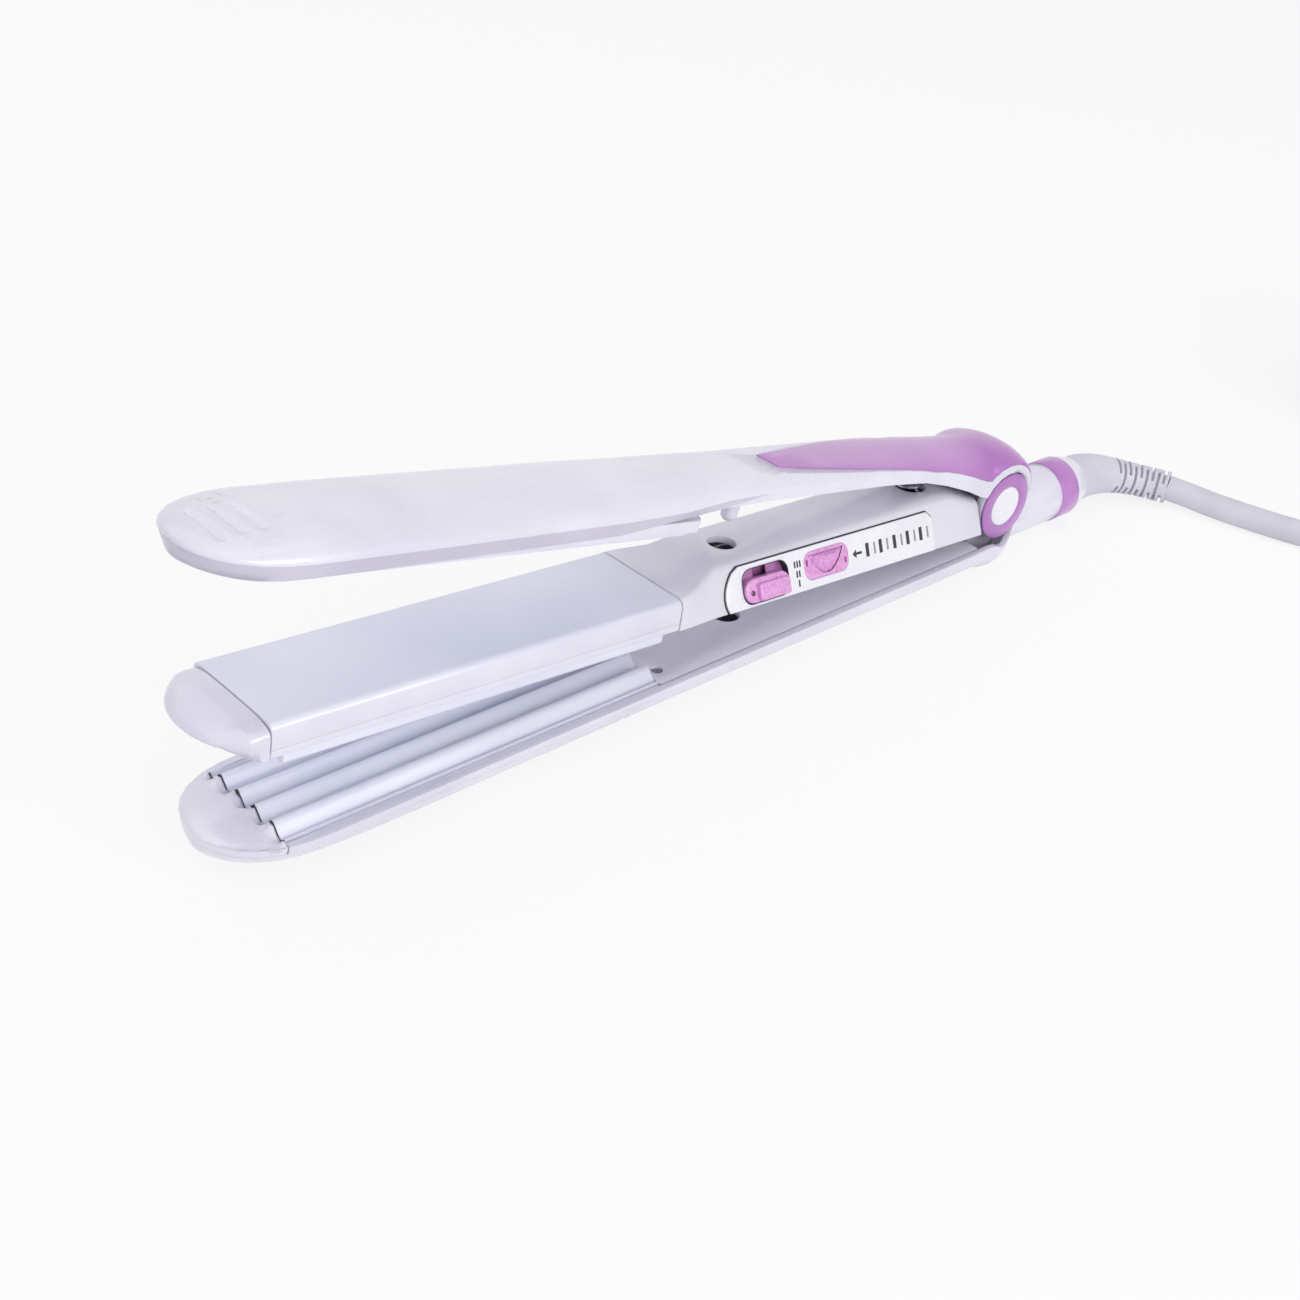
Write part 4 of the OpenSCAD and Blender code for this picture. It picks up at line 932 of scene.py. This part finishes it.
def painted_shade_belt_face(face, into):
    """Whether a face is between the crown's lower edge and the shell's rim, on the outside and facing
    down, where the darker grey paints shade.
    """
    normal = into.to_3x3() @ face.normal
    centre = into @ face.calc_center_median() * 1000
    outward = normal.x * (centre.x - NOSE_CENTRE) + normal.y * centre.y > BELT_OUTWARD
    steepest, flattest = BELT_DOWNWARD
    return centre.x > BELT_FACES_START and steepest < normal.z < flattest and outward


def make_upper_shell():
    bm = merged_copy("upper_shell", join_flat=False)
    into = UPPER.inverted()
    weld_panel_edge(bm, into)
    lean_belt(bm, into)
    cut_grip(bm, into)
    bmesh.ops.recalc_face_normals(bm, faces=bm.faces)
    for face in bm.faces:
        # Belt faces that look down get the darker grey, a painted shade
        face.material_index = 1 if painted_shade_belt_face(face, into) else 0
    dress("upper_shell", bm, FINISHES["pearl_shell"], BELT_PAINTED_SHADE)


make_upper_shell()

# ---- Controls ----------------------------------------------------------------

# Places are millimetres in the frame of the side face, whose z runs inwards from the handle's wall
PANEL_FACE = -0.5
PRINT_FACE = -0.555
PANEL_REAR = 26.3
PANEL_FRONT = 92.6
PANEL_HEIGHT = 9
PANEL_TOP_CORNERS = [(88.2, 9), (28.1, 9), (26.3, 7.4)]
# The panel's front end is bowed: how far it falls back at this distance from the bow's middle
BOW_DEPTH = 2.8
BOW_HALF = 5.5
BOW_MIDDLE = 2.8
SEAM_OUT = 0.3
SEAM_IN = -0.05
LENS_PLACE = mm(85.5, 2.9, -1.17)
LENS_RADIUS = 0.00062
LENS_FLATNESS = 0.35
WHEEL_PLACE = (62, 2.906)
WHEEL_SLOT = 8.75
SCALE_BARS = (48.8, 44.4, 39.7, 35.2, 30.7)
SCALE_HALF_BARS = (46.4, 42.1, 37.3, 32.8, 28.3)
ARROW_POINT = (52.9, 4.48)
# One, two and three strokes for the switch's positions, each at its height
SWITCH_MARKS = ((1, 1.9), (2, 3.9), (3, 6))
SWITCH_MARKS_X = 71
STROKE_STEP = 0.8


def hollowed_block(low, high, corner, hollow_low, hollow_high, hollow_corner):
    """A rounded block with a rounded opening through it."""
    outside = bmesh.new()
    rounded_block(outside, low, high, corner)
    inside = bmesh.new()
    rounded_block(inside, hollow_low, hollow_high, hollow_corner)
    return carved(outside, inside)


def finish_on_face(bm, name, slot, *materials):
    """Puts a shape that was built in the frame of the side face there, as a new piece."""
    bmesh.ops.transform(bm, matrix=SIDE_FACE, verts=bm.verts)
    finish_new(bm, name, "middle", slot, *materials)


def make_recess():
    """The floor of the switch recess is plum like the knob, with a dark lining up its walls that paints
    the shade in the recess.
    """
    floor = merged_copy("switch_body")
    round_edges(floor, USUAL_EDGE)
    dress("switch_body", floor, RECESS_PLUM)
    corners = hollowed_block(
        (73.62, 0.32, -0.525), (87.98, 8.28, 0.96), corner=0.3,
        hollow_low=(73.8, 0.44, -1), hollow_high=(87.8, 8.1, 2), hollow_corner=2.6,
    )
    finish_on_face(corners, "switch_recess_corners", "panel_white")
    # A thin dark ring up the recess walls: painted shade around the knob
    lining = hollowed_block(
        (73.78, 0.42, -0.5), (87.82, 8.12, 0.97), corner=2.6,
        hollow_low=(74.02, 0.62, -1), hollow_high=(87.58, 7.9, 2), hollow_corner=2.45,
    )
    finish_on_face(lining, "switch_recess_shade_lining", "dark_inner", DARK_PRINT_JOINT_AND_SHADE)


def add_knob_step(bm, low, high, corner, rim, rounding):
    """Adds a rounded block, with its outer rim, which lies beyond z = rim metres, rounded over."""
    step = bmesh.new()
    rounded_block(step, low, high, corner)
    round_edges(step, rounding, 60, 3, lambda e: max(v.co.z for v in e.verts) < rim)
    mesh = bpy.data.meshes.new("knob_step")
    step.to_mesh(mesh)
    step.free()
    bm.from_mesh(mesh)
    bpy.data.meshes.remove(mesh)


def make_knob():
    """The sliding knob with a raised grip, a foot that reaches into the handle, and the lamp's lens."""
    knob = bmesh.new()
    add_knob_step(knob, (74.2, 0.75, -1.2), (87.4, 5.85, 0.9), corner=2.4, rim=-0.001, rounding=0.00045)
    add_knob_step(knob, (75, 0.95, -2.2), (84.1, 4.7, -1), corner=0.7, rim=-0.002, rounding=0.0004)
    block(knob, (79.1, 3.9, 0.8), (82.5, 5.1, 2.1))
    bmesh.ops.transform(knob, matrix=SIDE_FACE, verts=knob.verts)
    bmesh.ops.recalc_face_normals(knob, faces=knob.faces)
    dress("power_switch", knob)
    lens = bmesh.new()
    bmesh.ops.create_uvsphere(lens, u_segments=20, v_segments=10, radius=LENS_RADIUS)
    bmesh.ops.scale(lens, vec=(1, 1, LENS_FLATNESS), verts=lens.verts)
    bmesh.ops.translate(lens, vec=LENS_PLACE, verts=lens.verts)
    bmesh.ops.transform(lens, matrix=SIDE_FACE, verts=lens.verts)
    dress("indicator_lens", lens)


def make_wheel_surround():
    """The pink bezel in the window, with the slot that the wheel's rim stands in and two notches."""
    bezel = bmesh.new()
    rounded_block(bezel, (55.08, 1.78, PANEL_FACE), (68.92, 7.82, 1.3), 2.3)
    slot = bmesh.new()
    rod(slot, WHEEL_SLOT, (*WHEEL_PLACE, -2.8), (*WHEEL_PLACE, 1.75), "Z", sides=96)
    bmesh.ops.transform(slot, matrix=SIDE_FACE.inverted() @ MIDDLE, verts=slot.verts)
    bezel = carved(bezel, slot)
    notches = bmesh.new()
    for x, y in ((68, 5.6), (56, 4)):
        rounded_block(notches, (x - 0.35, y - 0.7, -1), (x + 0.35, y + 0.7, 0.6), 0.3)
    bezel = carved(bezel, notches)
    round_edges(bezel, 0.0001)
    finish_on_face(bezel, "wheel_bezel", "pink_control")


def print_bar(bm, x, low, high, half_width):
    """A printed bar, a little proud of the panel."""
    block(bm, (x - half_width, low, PRINT_FACE), (x + half_width, high, PANEL_FACE))


def print_arrow(bm):
    block(bm, (50.7, 4.2, PRINT_FACE), (52.6, 4.75, PANEL_FACE))
    x, y = ARROW_POINT
    place = Matrix.Translation(mm(x, y, (PRINT_FACE + PANEL_FACE) / 2))
    point = bmesh.ops.create_cone(
        bm, cap_ends=True, segments=3, radius1=0.0011, radius2=0.0011,
        depth=(PANEL_FACE - PRINT_FACE) / 1000, matrix=place @ Matrix.Rotation(-math.pi / 2, 4, "Z"),
    )["verts"]
    bmesh.ops.scale(bm, vec=(0.7, 1, 1), space=Matrix.Translation(mm(-x, -y, 0)), verts=point)


def make_prints():
    """The graduated scale beside the wheel, its arrow, and the marks of the switch's positions."""
    dark, grey = bmesh.new(), bmesh.new()
    for x in SCALE_BARS:
        print_bar(dark, x, low=3.1, high=6.1, half_width=0.52)
    for x in SCALE_HALF_BARS:
        print_bar(grey, x, low=3.3, high=5.9, half_width=0.28)
    print_arrow(dark)
    for count, y in SWITCH_MARKS:
        for i in range(count):
            x = SWITCH_MARKS_X + STROKE_STEP * (i - (count - 1) / 2)
            print_bar(dark, x, low=y - 0.7, high=y + 0.7, half_width=0.22)
    finish_on_face(dark, "scale_marks", "dark_inner", DARK_PRINT_JOINT_AND_SHADE)
    finish_on_face(grey, "scale_half_marks", "dark_inner", PRINT_GREY)


def panel_shape(low, high, wider):
    """The panel's outline as a block from low to high, wider all round by about the given distance."""
    bow = [(PANEL_FRONT - BOW_DEPTH * ((y - BOW_MIDDLE) / BOW_HALF) ** 2, y) for y in range(PANEL_HEIGHT)]
    corners = [(PANEL_REAR, 0)] + bow + PANEL_TOP_CORNERS
    half_length = (PANEL_FRONT - PANEL_REAR) / 2
    half_height = PANEL_HEIGHT / 2
    shape = bmesh.new()
    face = shape.faces.new([shape.verts.new(mm(x, y, low)) for x, y in corners])
    grown = bmesh.ops.extrude_face_region(shape, geom=[face])["geom"]
    raised = [g for g in grown if isinstance(g, bmesh.types.BMVert)]
    bmesh.ops.translate(shape, vec=mm(0, 0, high - low), verts=raised)
    bmesh.ops.scale(
        shape, vec=(1 + wider / half_length, 1 + wider / half_height, 1),
        space=Matrix.Translation(mm(-PANEL_REAR - half_length, -half_height, 0)), verts=shape.verts,
    )
    return shape


def make_panel_seam():
    """The dark line of the joint around the control panel."""
    seam = carved(panel_shape(-0.14, 0.05, SEAM_OUT), panel_shape(-1, 1, SEAM_IN))
    below = bmesh.new()
    block(below, (20, -3, -1), (100, 0.02, 1))
    finish_on_face(carved(seam, below), "panel_seam", "dark_inner", DARK_PRINT_JOINT_AND_SHADE)


make_recess()
make_knob()
make_wheel_surround()
make_prints()
make_panel_seam()

# ---- Screws ------------------------------------------------------------------

SCREW_EDGE = 0.00015
# Half the length and half the width of a slot, as shares of the head's radius
SLOT_LONG = 0.62
SLOT_NARROW = 0.16


def make_screws(node, arm, heads, radius, slot_bottom, slot_top):
    """Cross recesses in the heads of the node's screws, in two passes because the slots cross."""
    bm = merged_copy(node)
    round_edges(bm, SCREW_EDGE)
    for share_x, share_y in ((SLOT_LONG, SLOT_NARROW), (SLOT_NARROW, SLOT_LONG)):
        slots = bmesh.new()
        for x, y in heads:
            half_x, half_y = radius * share_x, radius * share_y
            block(slots, (x - half_x, y - half_y, slot_bottom), (x + half_x, y + half_y, slot_top))
        bmesh.ops.transform(slots, matrix=arm, verts=slots.verts)
        bm = carved(bm, slots)
    dress(node, bm)


make_screws("lower_screws", LOWER, [(107.2, 8)], radius=1.2, slot_bottom=-7.9, slot_top=-6)
make_screws("upper_screws", UPPER, [(38, 0), (97, 0)], radius=2.1, slot_bottom=5, slot_top=7.9)

# ---- Strain relief -----------------------------------------------------------

# The relief runs straight out of the collar, then bends to the side and sinks to the table
RELIEF_START = (41, 0, 7.7)
RELIEF_STRAIGHT = 3
RELIEF_LENGTH = 30.6
RELIEF_BEND = 24
RELIEF_TURN = 66
RELIEF_SINK = 2.8
RELIEF_RADIUS = 5.9
RELIEF_TAPER = 1.8
RELIEF_TAPER_END = 1 / 1.3
RELIEF_SIDES = 32
# Rings of the smooth half, and bands of the slotted half
PLAIN_RINGS = 12
SLOT_START = 0.5
SLOT_BANDS = 18
SLOT_DEPTH = 0.0011
SLOT_GAP = 4


def relief_centre(share):
    """Place on the relief's middle line, from the collar at 0 to its end at 1."""
    x, y, z = RELIEF_START
    straight = RELIEF_STRAIGHT / RELIEF_LENGTH
    if share < straight:
        return mm(x + RELIEF_STRAIGHT * share / straight, y, z)
    bent = (share - straight) / (1 - straight)
    turn = math.radians(RELIEF_TURN * bent)
    return mm(
        x + RELIEF_STRAIGHT + RELIEF_BEND * math.sin(turn),
        y + RELIEF_BEND * (math.cos(turn) - 1),
        z - RELIEF_SINK * ease(bent),
    )


def relief_radius(share):
    return (RELIEF_RADIUS - RELIEF_TAPER * ease(share / RELIEF_TAPER_END)) / 1000


def relief_ring(bm, share):
    """A ring of points around the middle line, square to it."""
    ahead = relief_centre(min(share + 0.01, 1)) - relief_centre(max(share - 0.01, 0))
    turn = ahead.to_track_quat("Z", "Y").to_matrix().to_4x4()
    return bmesh.ops.create_circle(
        bm, cap_ends=False, segments=RELIEF_SIDES, radius=relief_radius(share),
        matrix=Matrix.Translation(relief_centre(share)) @ turn,
    )["verts"]


def sink_slot(bm, first, second, start, centre):
    """Pushes in the faces between two rings, from the side numbered start, nearly half the way round."""
    chosen = []
    for k in range(RELIEF_SIDES // 2 - SLOT_GAP):
        i = (start + k) % RELIEF_SIDES
        j = (i + 1) % RELIEF_SIDES
        around = {first[i], first[j], second[i], second[j]}
        chosen += [f for f in first[i].link_faces if set(f.verts) == around]
    grown = bmesh.ops.extrude_face_region(bm, geom=chosen)["geom"]
    for vert in [g for g in grown if isinstance(g, bmesh.types.BMVert)]:
        vert.co += (centre - vert.co).normalized() * SLOT_DEPTH
    bmesh.ops.delete(bm, geom=chosen, context="FACES")


def make_relief():
    """A tapered sleeve, ribbed by two rows of slots that take turns around it."""
    shares = [i / PLAIN_RINGS * SLOT_START for i in range(PLAIN_RINGS)]
    shares += [SLOT_START + (1 - SLOT_START) * i / SLOT_BANDS for i in range(SLOT_BANDS + 1)]
    bm = bmesh.new()
    rings = [relief_ring(bm, share) for share in shares]
    for ring, onward in zip(rings, rings[1:]):
        for i in range(RELIEF_SIDES):
            j = (i + 1) % RELIEF_SIDES
            bm.faces.new((ring[i], ring[j], onward[j], onward[i]))
    bm.faces.new(rings[0])
    bm.faces.new(rings[-1])
    bmesh.ops.recalc_face_normals(bm, faces=bm.faces)
    for band in range(1, SLOT_BANDS, 2):
        end = PLAIN_RINGS + band
        centre = (relief_centre(shares[end - 1]) + relief_centre(shares[end])) / 2
        quarter = RELIEF_SIDES // 4 if band % 4 == 1 else 0
        for half in (0, RELIEF_SIDES // 2):
            sink_slot(bm, rings[end - 1], rings[end], quarter + 1 + half, centre)
    dress("strain_relief", bm)


make_relief()

# ---- Plug --------------------------------------------------------------------

# The plug's frame: x from the cord to the pins
PLUG = Matrix.Translation(mm(*PLUG_PLACE)) @ Matrix.Rotation(math.pi / 2, 4, "Z")
PLUG_BODY_FROM = 0.0077
PLUG_CORNER = 0.0022
GRIP_NOTCHES = (23, 25.6, 28.2, 30.8)
GRIP_NOTCH_SIDE = 13.2
NECK_RINGS = (2, 4.2, 6.4)
# The neck's grooves are cut from outside it in to this radius
NECK_OUTSIDE = 5.5
NECK_CORE = 3.6
PIN_SIDE = 9.2


def make_plug_body():
    """A rounded body with notches for the fingers, and ring grooves around its neck."""
    bm = merged_copy("plug_body")
    into = PLUG.inverted()
    round_edges(bm, PLUG_CORNER, 40, 4, lambda e: min((into @ v.co).x for v in e.verts) > PLUG_BODY_FROM)
    notches = bmesh.new()
    for x in GRIP_NOTCHES:
        for y in (-GRIP_NOTCH_SIDE, GRIP_NOTCH_SIDE):
            block(notches, (x - 0.6, y - 0.7, -4.6), (x + 0.6, y + 0.7, 4.6))
    rings = bmesh.new()
    for x in NECK_RINGS:
        rod(rings, NECK_OUTSIDE, (x - 0.45, 0, 0), (x + 0.45, 0, 0), "X")
    core = bmesh.new()
    rod(core, NECK_CORE, (0, 0, 0), (8, 0, 0), "X")
    for tool in (notches, carved(rings, core)):
        bmesh.ops.transform(tool, matrix=PLUG, verts=tool.verts)
        bm = carved(bm, tool)
    dress("plug_body", bm)


def make_pins():
    """Pins with rounded ends, in dark sleeves next to the plug's body."""
    pins = merged_copy("plug_pins")
    round_edges(pins, 0.0009, 60, 4)
    dress("plug_pins", pins)
    sleeves = bmesh.new()
    for y in (-PIN_SIDE, PIN_SIDE):
        rod(sleeves, 2.03, (35.05, y, 0), (44.5, y, 0), "X")
    round_edges(sleeves, 0.0002, 60)
    bmesh.ops.transform(sleeves, matrix=PLUG, verts=sleeves.verts)
    finish_new(sleeves, "pin_sleeves", "lower", "dark_inner")


make_plug_body()
make_pins()

# ---- The cord's finish, on the lower arm -------------------------------------

cord.data.materials.append(FINISHES["cord_sleeve"])
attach(cord, "lower")
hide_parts("cord_lead", "cord_coil", "cord_tail")
